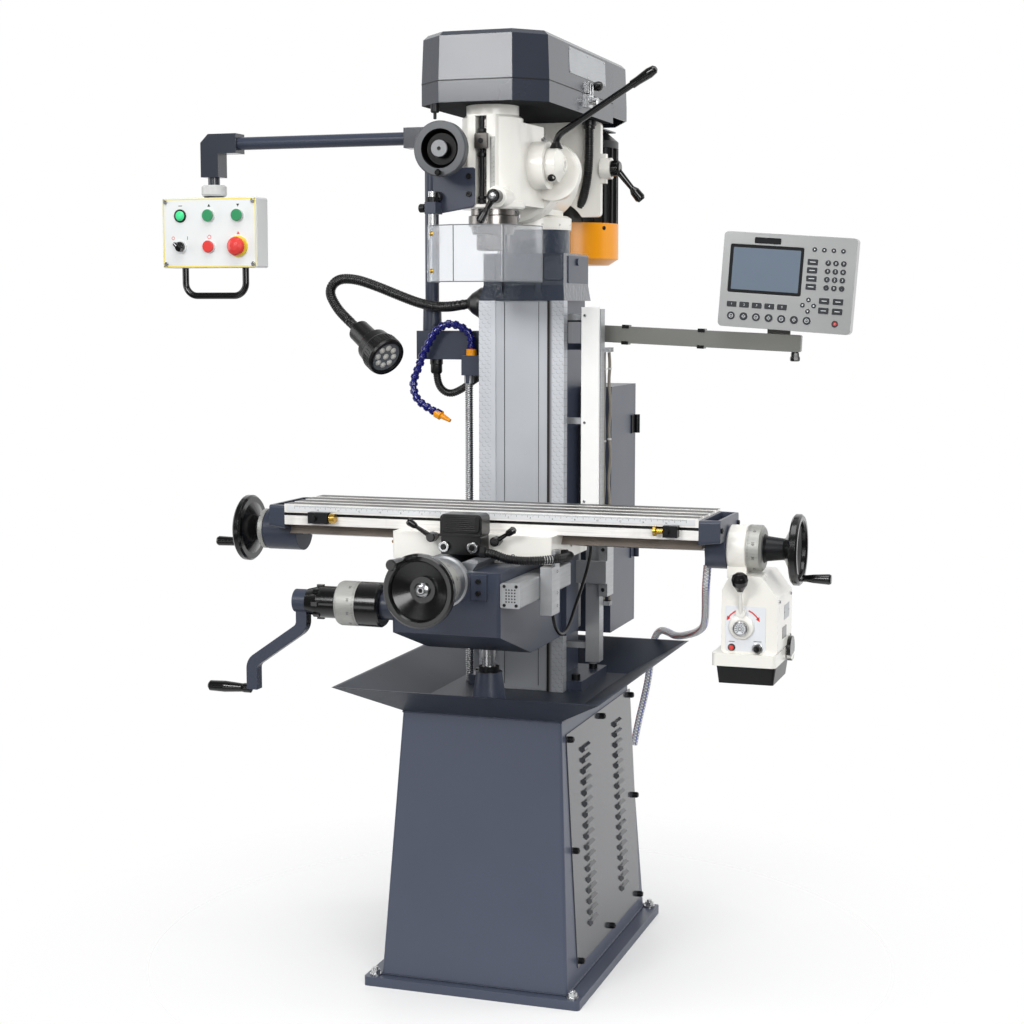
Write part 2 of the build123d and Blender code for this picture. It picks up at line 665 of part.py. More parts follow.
# Pendant box with its pilot lamp, button bezels and carrying handle
pendant_front_y = post_y - pendant_depth / 2
button_pitch = 76
button_top_z = pendant_top_z - 42
button_low_z = pendant_top_z - 115
button_bezel = 15.5
button_cap = 11.5
button_hole_depth = 26
with BuildPart() as pendant_box:
    block((pendant_x - pendant_width / 2, pendant_x + pendant_width / 2),
          (pendant_front_y + 3, post_y + pendant_depth / 2),
          (pendant_top_z - pendant_height, pendant_top_z))
    fillet(pendant_box.edges().filter_by(Axis.Y), 5)
    block((pendant_x - pendant_width / 2 + 1, pendant_x + pendant_width / 2 - 1),
          (pendant_front_y, pendant_front_y + 3),
          (pendant_top_z - pendant_height + 1, pendant_top_z - 1))
    with BuildSketch(Plane.XZ.offset(-pendant_front_y)):
        with Locations((pendant_x, pendant_top_z - pendant_height / 2)):
            with GridLocations(pendant_width - 20, pendant_height - 18, 2, 2):
                Circle(4)
        with Locations((pendant_x, button_top_z)):
            with GridLocations(button_pitch, 1, 3, 1):
                Circle(button_bezel)
        with Locations((pendant_x, button_low_z)):
            with GridLocations(button_pitch, 1, 2, 1):
                with Locations((-button_pitch / 2, 0)):
                    Circle(button_bezel)
        with Locations((pendant_x + button_pitch, button_low_z)):
            Circle(25)
    extrude(amount=3)
    with BuildSketch(Plane.XZ.offset(-pendant_front_y + 3)):
        with Locations((pendant_x, button_top_z)):
            with GridLocations(button_pitch, 1, 3, 1):
                Circle(button_cap + body_gap)
        with Locations((pendant_x - button_pitch, button_low_z)):
            Circle(button_cap + body_gap)
        with Locations((pendant_x, button_low_z)):
            Circle(button_cap + body_gap)
        with Locations((pendant_x + button_pitch, button_low_z)):
            Circle(button_cap + body_gap)
    extrude(amount=-button_hole_depth, mode=Mode.SUBTRACT)
    turned((pendant_x - button_pitch, pendant_front_y + 12, button_top_z), (0, -1, 0), [
        (-12, 0), (20, 0), (19, 8), (15, button_cap + body_gap), (-12, button_cap + body_gap)])
    rod((pendant_x, post_y, pendant_top_z), (0, 0, 1), 3.7, 24)
    cord([(pendant_x - 80, post_y, pendant_top_z - pendant_height + 2),
          (pendant_x - 80, post_y, pendant_top_z - pendant_height - 66),
          (pendant_x + 80, post_y, pendant_top_z - pendant_height - 66),
          (pendant_x + 80, post_y, pendant_top_z - pendant_height + 2)], 8)
pendant_box.part.label = "pendant_box"
export_step(pendant_box.part, "parts/pendant_box.step")

# Two green push buttons, the red stop button, the selector and the emergency stop
cap_outline = [(-5, 0), (15, 0), (15, button_cap - 3), (14, button_cap), (-5, button_cap)]
with BuildPart() as up_button:
    turned((pendant_x, pendant_front_y + 8, button_top_z), (0, -1, 0), cap_outline)
up_button.part.label = "up_button"
export_step(up_button.part, "parts/up_button.step")

with BuildPart() as down_button:
    turned((pendant_x + button_pitch, pendant_front_y + 8, button_top_z), (0, -1, 0), cap_outline)
down_button.part.label = "down_button"
export_step(down_button.part, "parts/down_button.step")

with BuildPart() as stop_button:
    turned((pendant_x, pendant_front_y + 8, button_low_z), (0, -1, 0), cap_outline)
stop_button.part.label = "stop_button"
export_step(stop_button.part, "parts/stop_button.step")

with BuildPart() as selector:
    turned((pendant_x - button_pitch, pendant_front_y + 8, button_low_z), (0, -1, 0), [
        (-5, 0), (17, 0), (17, button_cap), (-5, button_cap)])
    with BuildSketch(Plane.XZ.offset(-pendant_front_y + 9)):
        with Locations((pendant_x - button_pitch, button_low_z)):
            SlotOverall(26, 9, rotation=135)
    extrude(amount=12)
selector.part.label = "selector"
export_step(selector.part, "parts/selector.step")

with BuildPart() as emergency_stop:
    turned((pendant_x + button_pitch, pendant_front_y + 8, button_low_z), (0, -1, 0), [
        (-5, 0), (34, 0), (33, 10), (29, 19), (24, 22), (18, 21), (17, button_cap), (-5, button_cap)])
emergency_stop.part.label = "emergency_stop"
export_step(emergency_stop.part, "parts/emergency_stop.step")

# Knee casting on the column ways, with its cross dovetail and screw slot
knee_bottom_z = knee_top_z - knee_height
cross_axis_z = knee_top_z - cross_axis_drop
cross_screw_radius = 11
crank_shaft_radius = 14
knee_rear_y = column_face_y - slide_gap
cheek_inner_x = way_width / 2 + slide_gap
cheek_outer_x = cheek_inner_x + cheek_thickness
keeper_front_y = column_face_y + way_thickness + slide_gap
dovetail_slope = 1 / tan(radians(dovetail_angle))
knee_slot_front_y = knee_front_y + 22
knee_slot_rear_y = -70
knee_slot_floor_z = cross_axis_z - 25
lift_screw_top_z = 868
with BuildPart() as knee:
    with BuildSketch(Plane.YZ):
        with BuildLine():
            Polyline((knee_front_y, knee_top_z), (knee_rear_y, knee_top_z),
                     (knee_rear_y, knee_bottom_z),
                     (knee_heel_y, knee_bottom_z), (knee_front_y, knee_top_z - knee_front_height),
                     close=True)
        make_face()
    extrude(amount=knee_width / 2, both=True)
    fillet(knee.edges().filter_by(Axis.Z).group_by(Axis.Y)[0], 7)
    with BuildSketch(Plane.XY.offset(knee_bottom_z)):
        with Locations((0, (keeper_front_y - 60) / 2)):
            with GridLocations(cheek_inner_x + cheek_outer_x, 1, 2, 1):
                Rectangle(cheek_thickness, keeper_front_y + 60)
    extrude(amount=knee_height)
    with BuildSketch(Plane.XZ.offset(-knee_front_y - 20)):
        with BuildLine():
            half_top = knee_dovetail_width / 2
            half_foot = half_top - knee_dovetail_height * dovetail_slope
            Polyline((-half_foot, knee_top_z), (-half_top, knee_top_z + knee_dovetail_height),
                     (half_top, knee_top_z + knee_dovetail_height), (half_foot, knee_top_z), close=True)
        make_face()
    extrude(amount=knee_front_y + 30)
    block((-knee_slot / 2, knee_slot / 2), (knee_slot_front_y, knee_slot_rear_y),
          (knee_slot_floor_z, knee_top_z + knee_dovetail_height), Mode.SUBTRACT)
    rod((-knee_width / 2, crank_y, crank_z), (-1, 0, 0), crank_boss, 30)
    rod((-knee_width / 2 - crank_boss, crank_y, crank_z), (1, 0, 0), 90, crank_shaft_radius + run_gap,
        Mode.SUBTRACT)
    rod((0, knee_front_y, cross_axis_z), (0, 1, 0), 22, cross_screw_radius + run_gap, Mode.SUBTRACT)
    rod((0, knee_slot_rear_y, cross_axis_z), (0, 1, 0), 16, cross_screw_radius + run_gap, Mode.SUBTRACT)
    rod((0, lift_screw_y, knee_bottom_z), (0, 0, 1), lift_screw_top_z - knee_bottom_z + 2,
        lift_screw_radius + run_gap, Mode.SUBTRACT)
knee.part.label = "knee"
export_step(knee.part, "parts/knee.step")

# Pieces bolted to the knee: bearings, keepers behind the ways, gib plate, cross scale and vertical reader
cross_bearing_radius = 48
cross_bearing_length = 40
crank_bearing_length = 49
cross_scale_bar = 42
gib_plate = 4
with BuildPart() as knee_fittings:
    turned((-knee_width / 2 - crank_boss, crank_y, crank_z), (-1, 0, 0), [
        (0, crank_shaft_radius + run_gap), (0, crank_bearing_radius - 3), (4, crank_bearing_radius),
        (crank_bearing_length, crank_bearing_radius),
        (crank_bearing_length, crank_shaft_radius + run_gap)])
    turned((0, knee_front_y, cross_axis_z), (0, -1, 0), [
        (0, cross_screw_radius + run_gap), (0, cross_bearing_radius + 4),
        (10, cross_bearing_radius + 4),
        (14, cross_bearing_radius), (cross_bearing_length, cross_bearing_radius),
        (cross_bearing_length, cross_screw_radius + run_gap)])
    with BuildSketch(Plane.XZ.offset(-keeper_front_y)):
        with Locations((0, knee_top_z - knee_height / 2)):
            with GridLocations((column_width / 2 + 1 + cheek_outer_x), 1, 2, 1):
                Rectangle(cheek_outer_x - column_width / 2 - 1, knee_height - 10)
    extrude(amount=-keeper_thickness)
    with BuildSketch(Plane.XZ.offset(-knee_front_y - 2)):
        with Locations((knee_width / 2 + cross_scale_bar / 2, knee_top_z - 44)):
            RectangleRounded(cross_scale_bar, 50, 4)
    extrude(amount=-343)
    block((56, 89), (knee_front_y - gib_plate, knee_front_y), (knee_top_z - 55, knee_top_z - 4))
    block((cheek_outer_x, 196), (12, 24), (845, 895))
    block((176, 196), (24, 74), (815, 935))
knee_fittings.part.label = "knee_fittings"
export_step(knee_fittings.part, "parts/knee_fittings.step")

# Lifting crank with its dial, jaw clutch, cast arm and turned grip
crank_dial_x = -knee_width / 2 - crank_boss - crank_bearing_length - body_gap
crank_arm_x = crank_dial_x - 132
crank_grip_x = crank_arm_x - crank_offset + 3
with BuildPart() as lift_crank:
    rod((-knee_width / 2 + 40, crank_y, crank_z), (-1, 0, 0), -crank_arm_x - knee_width / 2 + 40,
        crank_shaft_radius)
    turned((crank_dial_x, crank_y, crank_z), (-1, 0, 0), [
        (0, 0), (51, 0), (51, 30), (45, crank_bearing_radius - 2), (40, crank_bearing_radius),
        (0, crank_bearing_radius)])
    turned((crank_dial_x - 51, crank_y, crank_z), (-1, 0, 0), [
        (0, 0), (68, 0), (68, 26), (40, 33), (0, 33)])
    with Locations(Plane(origin=(crank_dial_x - 92, crank_y, crank_z), z_dir=(-1, 0, 0))):
        with PolarLocations(32, 8):
            Box(8, 9, 14)
    with BuildSketch(Plane.XZ.offset(-crank_y)):
        with BuildLine():
            FilletPolyline((crank_arm_x, crank_z + 4), (crank_arm_x, crank_z - 55),
                           (crank_grip_x, crank_z - 135), (crank_grip_x, crank_z - crank_throw),
                           radius=24)
        trace(line_width=24)
    extrude(amount=12, both=True)
    rod((crank_arm_x + 16, crank_y, crank_z), (-1, 0, 0), 32, 24)
    turned((crank_grip_x - 8, crank_y, crank_z - crank_throw), (-1, 0, 0), [
        (0, 0), (98, 0), (98, 7), (94, 11), (60, 12), (20, 9), (14, 10), (0, 10)])
lift_crank.part.label = "lift_crank"
export_step(lift_crank.part, "parts/lift_crank.step")

# Elevating screw, hanging from the knee through the nut
with BuildPart() as lift_screw:
    turned((0, lift_screw_y, lift_screw_top_z), (0, 0, -1), [
        (0, 0), (lift_screw_length, 0), (lift_screw_length, lift_screw_radius - 3),
        (lift_screw_length - 3, lift_screw_radius), (0, lift_screw_radius)])
lift_screw.part.label = "lift_screw"
export_step(lift_screw.part, "parts/lift_screw.step")

# Saddle between the knee's cross dovetail and the table's long dovetail
saddle_bottom_z = knee_top_z + slide_gap
saddle_top_z = knee_top_z + saddle_height
table_axis_z = saddle_top_z + slide_gap + table_thickness - table_screw_drop
half_table_dovetail = table_dovetail_width / 2
half_table_throat = half_table_dovetail - table_dovetail_height * dovetail_slope
table_groove_z = saddle_top_z - table_dovetail_height - slide_gap
saddle_roof_z = knee_top_z + knee_dovetail_height + 2 * slide_gap
fit_side = 2 * slide_gap
table_nut_length = 60
table_nut_width = 28
table_nut_seat_z = table_axis_z - 13
with BuildPart() as saddle:
    block((-saddle_width / 2, saddle_width / 2), (saddle_front_y, saddle_rear_y),
          (saddle_bottom_z, saddle_top_z))
    fillet(saddle.edges().filter_by(Axis.Z), 5)
    with BuildSketch(Plane.YZ):
        with BuildLine():
            Polyline((spindle_y - half_table_throat - fit_side, saddle_top_z),
                     (spindle_y - half_table_dovetail - fit_side, table_groove_z),
                     (spindle_y + half_table_dovetail + fit_side, table_groove_z),
                     (spindle_y + half_table_throat + fit_side, saddle_top_z), close=True)
        make_face()
    extrude(amount=saddle_width / 2, both=True, mode=Mode.SUBTRACT)
    with BuildSketch(Plane.XZ.offset(-saddle_front_y)):
        with BuildLine():
            Polyline((-half_foot - fit_side, saddle_bottom_z), (-half_top - fit_side, saddle_roof_z),
                     (half_top + fit_side, saddle_roof_z), (half_foot + fit_side, saddle_bottom_z),
                     close=True)
        make_face()
    extrude(amount=saddle_front_y - saddle_rear_y, mode=Mode.SUBTRACT)
    rod((-saddle_width / 2, spindle_y, table_axis_z), (1, 0, 0), saddle_width, table_screw_radius + 3,
        Mode.SUBTRACT)
    block((-table_nut_length / 2, table_nut_length / 2),
          (spindle_y - table_nut_width / 2, spindle_y + table_nut_width / 2),
          (table_nut_seat_z, table_groove_z), Mode.SUBTRACT)
saddle.part.label = "saddle"
export_step(saddle.part, "parts/saddle.step")

# Pieces on the saddle: bronze nuts, limit switch box, cross reader and its conduit and cable
limit_box_x = -4
limit_box_width = 91
limit_box_front_y = saddle_front_y - 49
reader_x = knee_width / 2 + cross_scale_bar + 1
with BuildPart() as saddle_fittings:
    block((-table_nut_length / 2, table_nut_length / 2),
          (spindle_y - table_nut_width / 2, spindle_y + table_nut_width / 2),
          (table_nut_seat_z, table_axis_z + 15))
    rod((-table_nut_length / 2, spindle_y, table_axis_z), (1, 0, 0), table_nut_length,
        table_screw_radius + run_gap, Mode.SUBTRACT)
    block((-24, 24), (-215, -150), (cross_axis_z - 18, saddle_roof_z))
    rod((0, -215, cross_axis_z), (0, 1, 0), 65, cross_screw_radius + run_gap, Mode.SUBTRACT)
    with BuildSketch(Plane.XZ.offset(-saddle_front_y)):
        with Locations((limit_box_x, saddle_top_z + 22)):
            RectangleRounded(limit_box_width, 48, 10)
        with Locations((limit_box_x, saddle_top_z - 18)):
            RectangleRounded(limit_box_width - 4, 38, 4)
    extrude(amount=saddle_front_y - limit_box_front_y)
    with BuildSketch(Plane.XZ.offset(-limit_box_front_y)):
        with Locations((limit_box_x - 4, saddle_top_z - 21)):
            with GridLocations(62, 1, 2, 1):
                Circle(11)
    extrude(amount=6)
    block((reader_x, reader_x + 25), (saddle_front_y - 24, saddle_front_y + 29),
          (829, saddle_bottom_z - 2))
    block((saddle_width / 2, saddle_width / 2 + 8), (saddle_front_y, saddle_front_y + 29),
          (900, saddle_top_z - 27))
    conduit_y_front = limit_box_front_y + 6
    cord([(limit_box_x + 43, conduit_y_front, 957), (62, conduit_y_front, 955),
          (88, conduit_y_front, 945),
          (122, conduit_y_front + 6, 941), (156, conduit_y_front + 16, 942),
          (186, conduit_y_front + 34, 944),
          (200, conduit_y_front + 66, 944), (198, conduit_y_front + 98, 943),
          (190, conduit_y_front + 114, 942),
          (saddle_width / 2 + body_gap, conduit_y_front + 114, 942)], 8)
    cord([(reader_x + 12, saddle_front_y + 20, 832), (reader_x + 16, saddle_front_y + 24, 800),
          (reader_x + 20, saddle_front_y + 44, 780), (reader_x + 21, saddle_front_y + 78, 776),
          (reader_x + 21, saddle_front_y + 114, 790), (reader_x + 21, saddle_front_y + 150, 818),
          (reader_x + 23, saddle_front_y + 190, 852), (reader_x + 25, saddle_front_y + 225, 886),
          (reader_x + 30, saddle_front_y + 240, 925), (reader_x + 30, saddle_front_y + 240, 944),
          (saddle_width / 2 + body_gap, saddle_front_y + 240, 944)], 3.5)
saddle_fittings.part.label = "saddle_fittings"
export_step(saddle_fittings.part, "parts/saddle_fittings.step")


def lock_lever(hub_x, hub_z, reach_x, reach_z):
    """Clamp lever on a stud of the saddle's front, in the active part."""
    turned((hub_x, saddle_front_y - body_gap, hub_z), (0, -1, 0), [
        (0, 0), (32, 0), (32, 8), (30, 10), (16, 11), (14, 8), (0, 8)])
    reach = hypot(reach_x, reach_z)
    turned((hub_x, saddle_front_y - 23, hub_z), (reach_x, -8, reach_z), [
        (0, 0), (reach, 0), (reach, 5), (reach - 4, 8), (reach - 18, 7), (reach - 24, 4), (0, 6)])


# Saddle and table clamp levers
with BuildPart() as lock_left:
    lock_lever(-78, saddle_top_z - 6, -51, 33)
lock_left.part.label = "lock_left"
export_step(lock_left.part, "parts/lock_left.step")

with BuildPart() as lock_right:
    lock_lever(62, saddle_top_z - 10, 45, 28)
lock_right.part.label = "lock_right"
export_step(lock_right.part, "parts/lock_right.step")

# Cross feed screw with its dial and hand wheel
cross_dial_y = knee_front_y - cross_bearing_length - body_gap
cross_wheel_y = cross_dial_y - 70
with BuildPart() as cross_wheel:
    rod((0, knee_slot_rear_y + 14, cross_axis_z), (0, -1, 0),
        knee_slot_rear_y + 14 - cross_wheel_y + 16,
        cross_screw_radius)
    turned((0, cross_dial_y, cross_axis_z), (0, -1, 0), [
        (0, 0), (46, 0), (46, 30), (42, cross_bearing_radius - 2), (38, cross_bearing_radius),
        (0, cross_bearing_radius)])
    turned((0, cross_dial_y - 46, cross_axis_z), (0, -1, 0), [(0, 0), (26, 0), (26, 20), (0, 22)])
    hand_wheel((0, cross_wheel_y, cross_axis_z), (0, -1, 0), cross_wheel_diameter, 0, 115, 72)
cross_wheel.part.label = "cross_wheel"
export_step(cross_wheel.part, "parts/cross_wheel.step")

# Table with three T-slots, a stop groove along its front and the long dovetail below
table_bottom_z = saddle_top_z + slide_gap
table_top_z = table_bottom_z + table_thickness
table_left_x = table_shift - table_length / 2
table_right_x = table_shift + table_length / 2
table_front_y = spindle_y - table_width / 2
with BuildPart() as table:
    with BuildSketch(Plane.YZ.offset(table_left_x)):
        with Locations((spindle_y, table_bottom_z + table_thickness / 2)):
            Rectangle(table_width, table_thickness)
        with BuildLine():
            Polyline((spindle_y - half_table_throat, table_bottom_z),
                     (spindle_y - half_table_dovetail, table_bottom_z - table_dovetail_height),
                     (spindle_y + half_table_dovetail, table_bottom_z - table_dovetail_height),
                     (spindle_y + half_table_throat, table_bottom_z), close=True)
        make_face()
        with Locations((spindle_y, table_top_z - slot_depth / 2)):
            with GridLocations(slot_pitch, 1, 3, 1):
                Rectangle(slot_throat, slot_depth, mode=Mode.SUBTRACT)
        with Locations((spindle_y, table_top_z - slot_depth + slot_head_height / 2)):
            with GridLocations(slot_pitch, 1, 3, 1):
                Rectangle(slot_head, slot_head_height, mode=Mode.SUBTRACT)
        with Locations((table_front_y + 4, table_bottom_z + 23)):
            Rectangle(8, 6, mode=Mode.SUBTRACT)
        with Locations((spindle_y, table_axis_z + 9.5)):
            Rectangle(table_nut_width + 6, 17, mode=Mode.SUBTRACT)
    extrude(amount=table_length)
table.part.label = "table"
export_step(table.part, "parts/table.step")

# Table end brackets with coolant troughs, and the two stop dogs in the front groove
left_boss_length = 84
right_boss_length = 44
drain_x = 459
drain_y = -140
drain_drop = 46.5
dog_depth = 19
with BuildPart() as table_fittings:
    for side, boss_length in ((-1, left_boss_length), (1, right_boss_length)):
        end_x = table_left_x if side < 0 else table_right_x
        with BuildSketch(Plane.YZ.offset(end_x)):
            with Locations((spindle_y, table_top_z - 30)):
                RectangleRounded(table_width, 50, 6)
        with BuildSketch(Plane.YZ.offset(end_x + side * bracket_length)):
            with Locations((spindle_y, table_top_z - 28)):
                RectangleRounded(table_width - 24, 46, 6)
        loft()
        near = end_x + side * bracket_wall
        far = end_x + side * (bracket_length - bracket_wall)
        block((min(near, far), max(near, far)),
              (spindle_y - table_width / 2 + 20, spindle_y + table_width / 2 - 20),
              (table_top_z - 24, table_top_z), Mode.SUBTRACT)
        turned((end_x, spindle_y, table_axis_z), (side, 0, 0), [
            (0, 0), (boss_length, 0), (boss_length, bearing_housing_radius - 3),
            (boss_length - 3, bearing_housing_radius), (0, bearing_housing_radius)])
        rod((end_x, spindle_y, table_axis_z), (side, 0, 0), boss_length,
            table_screw_radius + run_gap, Mode.SUBTRACT)
    turned((drain_x, drain_y, table_bottom_z - table_dovetail_height), (0, 0, -1), [
        (0, 0), (drain_drop, 0), (drain_drop, 6), (14, 6), (12, 12), (0, 12)])
    for dog_x, dog_width, dog_side, stem, head in ((-356, 46, -1, 3, 12), (417, 30, 1, 15, 6)):
        block((dog_x - dog_width / 2, dog_x + dog_width / 2),
              (table_front_y - dog_depth, table_front_y),
              (table_bottom_z + 6, table_bottom_z + 30))
        rod((dog_x - 8, table_front_y - dog_depth, table_bottom_z + 18), (0, -1, 0), 8, 6)
        dog_end = (dog_x - dog_side * dog_width / 2, table_front_y - 11, table_bottom_z + 18)
        turned(dog_end, (-dog_side, 0, 0), [
            (0, 0), (stem + head, 0), (stem + head, 10), (stem, 10), (stem, 5), (0, 5)])
table_fittings.part.label = "table_fittings"
export_step(table_fittings.part, "parts/table_fittings.step")

# Table screw with its left and right hand wheels and dials
left_dial_x = table_left_x - left_boss_length - body_gap
left_wheel_x = left_dial_x - 18
gear_ring_x = table_right_x + right_boss_length + body_gap
gear_ring_length = 40
right_dial_x = gear_ring_x + gear_ring_length + body_gap
right_wheel_x = right_dial_x + 68
with BuildPart() as table_screw:
    rod((left_wheel_x - 6, spindle_y, table_axis_z), (1, 0, 0), right_wheel_x - left_wheel_x + 12,
        table_screw_radius)
    turned((left_dial_x, spindle_y, table_axis_z), (-1, 0, 0),
           [(0, 0), (13, 0), (13, 40), (10, 44), (0, 44)])
    rod((left_dial_x - 13, spindle_y, table_axis_z), (-1, 0, 0), 12, 22)
    hand_wheel((left_wheel_x, spindle_y, table_axis_z), (-1, 0, 0), left_wheel_diameter, 0, 218, 100)
    turned((right_dial_x, spindle_y, table_axis_z), (1, 0, 0),
           [(0, 0), (31, 0), (31, 42), (26, 48), (0, 48)])
    turned((right_dial_x + 31, spindle_y, table_axis_z), (1, 0, 0),
           [(0, 0), (40, 0), (40, 22), (6, 26), (0, 30)])
    hand_wheel((right_wheel_x, spindle_y, table_axis_z), (1, 0, 0), right_wheel_diameter, 0, 290, 58)
table_screw.part.label = "table_screw"
export_step(table_screw.part, "parts/table_screw.step")

# Power feed hung on the right end of the table screw
feed_front_y = -252
feed_rear_y = -96
feed_left_x = 514
feed_width = 115
feed_bottom_z = 757
feed_shoulder_z = 872
feed_x = feed_left_x + feed_width / 2
feed_switch_x = feed_x + 17
feed_switch_z = feed_bottom_z + 12
feed_switch_radius = 8
feed_reset_x = feed_x - 36
feed_reset_z = feed_bottom_z + 12
feed_reset_radius = 5
with BuildPart() as feed_housing:
    turned((gear_ring_x, spindle_y, table_axis_z), (1, 0, 0), [
        (0, table_screw_radius + run_gap), (0, 44), (3, 47), (gear_ring_length - 3, 47),
        (gear_ring_length, 44), (gear_ring_length, table_screw_radius + run_gap)])
    with BuildSketch(Plane.XZ.offset(-feed_front_y)):
        with BuildLine():
            Polyline((feed_left_x, feed_bottom_z), (feed_left_x + feed_width, feed_bottom_z),
                     (feed_left_x + feed_width, feed_shoulder_z),
                     (feed_left_x + feed_width - 34, table_axis_z - 49),
                     (feed_left_x + 16, table_axis_z - 49), (feed_left_x, feed_shoulder_z + 14),
                     close=True)
        make_face()
        fillet(vertices(), 7)
    extrude(amount=feed_front_y - feed_rear_y)
    block((gear_ring_x, gear_ring_x + gear_ring_length), (spindle_y - 30, spindle_y + 30),
          (table_axis_z - 60, table_axis_z - 34))
    with BuildSketch(Plane.XY.offset(feed_bottom_z)):
        with Locations((feed_x - 10, (feed_front_y + feed_rear_y) / 2 - 5)):
            RectangleRounded(feed_width + 16, feed_rear_y - feed_front_y + 10, 10)
    extrude(amount=-26)
    with BuildSketch(Plane.XY.offset(feed_bottom_z - 26)):
        with Locations((feed_x - 8, (feed_front_y + feed_rear_y) / 2)):
            RectangleRounded(feed_width + 8, feed_rear_y - feed_front_y - 4, 10)
    extrude(amount=-38, taper=8)
    rod((feed_left_x + feed_width, feed_rear_y - 29, feed_bottom_z - 6), (1, 0, 0), 8, 26)
    rod((feed_switch_x, feed_front_y, feed_switch_z), (0, 1, 0), 9, feed_switch_radius + body_gap,
        Mode.SUBTRACT)
    rod((feed_reset_x, feed_front_y, feed_reset_z), (0, 1, 0), 7, feed_reset_radius + body_gap,
        Mode.SUBTRACT)
feed_housing.part.label = "feed_housing"
export_step(feed_housing.part, "parts/feed_housing.step")

# Direction lever, speed knob, rapid switch and reset button of the power feed
feed_lever_z = 841
with BuildPart() as feed_lever:
    rod((feed_x - 17, feed_front_y - body_gap, feed_lever_z), (0, -1, 0), 10, 10)
    turned((feed_x - 17, feed_front_y - 6, feed_lever_z), (1, -10, 26), [
        (0, 0), (92, 0), (90, 8), (84, 15), (76, 17), (66, 15), (56, 9), (50, 6), (48, 6), (48, 4),
        (0, 5)])
feed_lever.part.label = "feed_lever"
export_step(feed_lever.part, "parts/feed_lever.step")

with BuildPart() as feed_knob:
    turned((feed_x - 16, feed_front_y - body_gap, feed_lever_z - 31), (0, -1, 0), [
        (0, 0), (18, 0), (18, 13), (16, 15), (4, 17), (0, 17)])
feed_knob.part.label = "feed_knob"
export_step(feed_knob.part, "parts/feed_knob.step")

with BuildPart() as feed_switch:
    turned((feed_switch_x, feed_front_y, feed_switch_z), (0, -1, 0), [
        (-4, 0), (14, 0), (13, 6), (9, feed_switch_radius), (-4, feed_switch_radius)])
feed_switch.part.label = "feed_switch"
export_step(feed_switch.part, "parts/feed_switch.step")

with BuildPart() as feed_reset:
    turned((feed_reset_x, feed_front_y, feed_reset_z), (0, -1, 0), [
        (-3, 0), (9, 0), (8, 4), (6, feed_reset_radius), (-3, feed_reset_radius)])
feed_reset.part.label = "feed_reset"
export_step(feed_reset.part, "parts/feed_reset.step")

# Turret on the column: graduated disc, pedestal and the barrel that carries the tilting head
ring_top_z = column_top_z + turret_ring_height
turret_disc_height = 31
barrel_front_y = flange_y + slide_gap
barrel_rear_y = 150
with BuildPart() as turret:
    turned((0, turret_y, ring_top_z + slide_gap), (0, 0, 1), [
        (0, 0), (turret_disc_height, 0), (turret_disc_height, turret_ring_radius - 6),
        (turret_disc_height - 5, turret_ring_radius + 2), (0, turret_ring_radius + 2)])
    with BuildSketch(Plane.XY.offset(ring_top_z + turret_disc_height)):
        with Locations((0, (barrel_front_y + barrel_rear_y) / 2 + 20)):
            RectangleRounded(120, 118, 20)
    extrude(amount=head_axis_z - ring_top_z - turret_disc_height)
    turned((0, barrel_front_y, head_axis_z), (0, 1, 0), [
        (0, 0), (barrel_rear_y - barrel_front_y, 0),
        (barrel_rear_y - barrel_front_y, flange_radius - 22),
        (barrel_rear_y - barrel_front_y - 12, flange_radius - 10), (34, flange_radius - 10),
        (28, flange_radius), (0, flange_radius)])
    with Locations(Plane(origin=(0, barrel_front_y + 14, head_axis_z), z_dir=(0, -1, 0))):
        with PolarLocations(flange_radius, 3, start_angle=-30):
            Cylinder(9, 18, rotation=(0, 90, 0))
turret.part.label = "turret"
export_step(turret.part, "parts/turret.step")

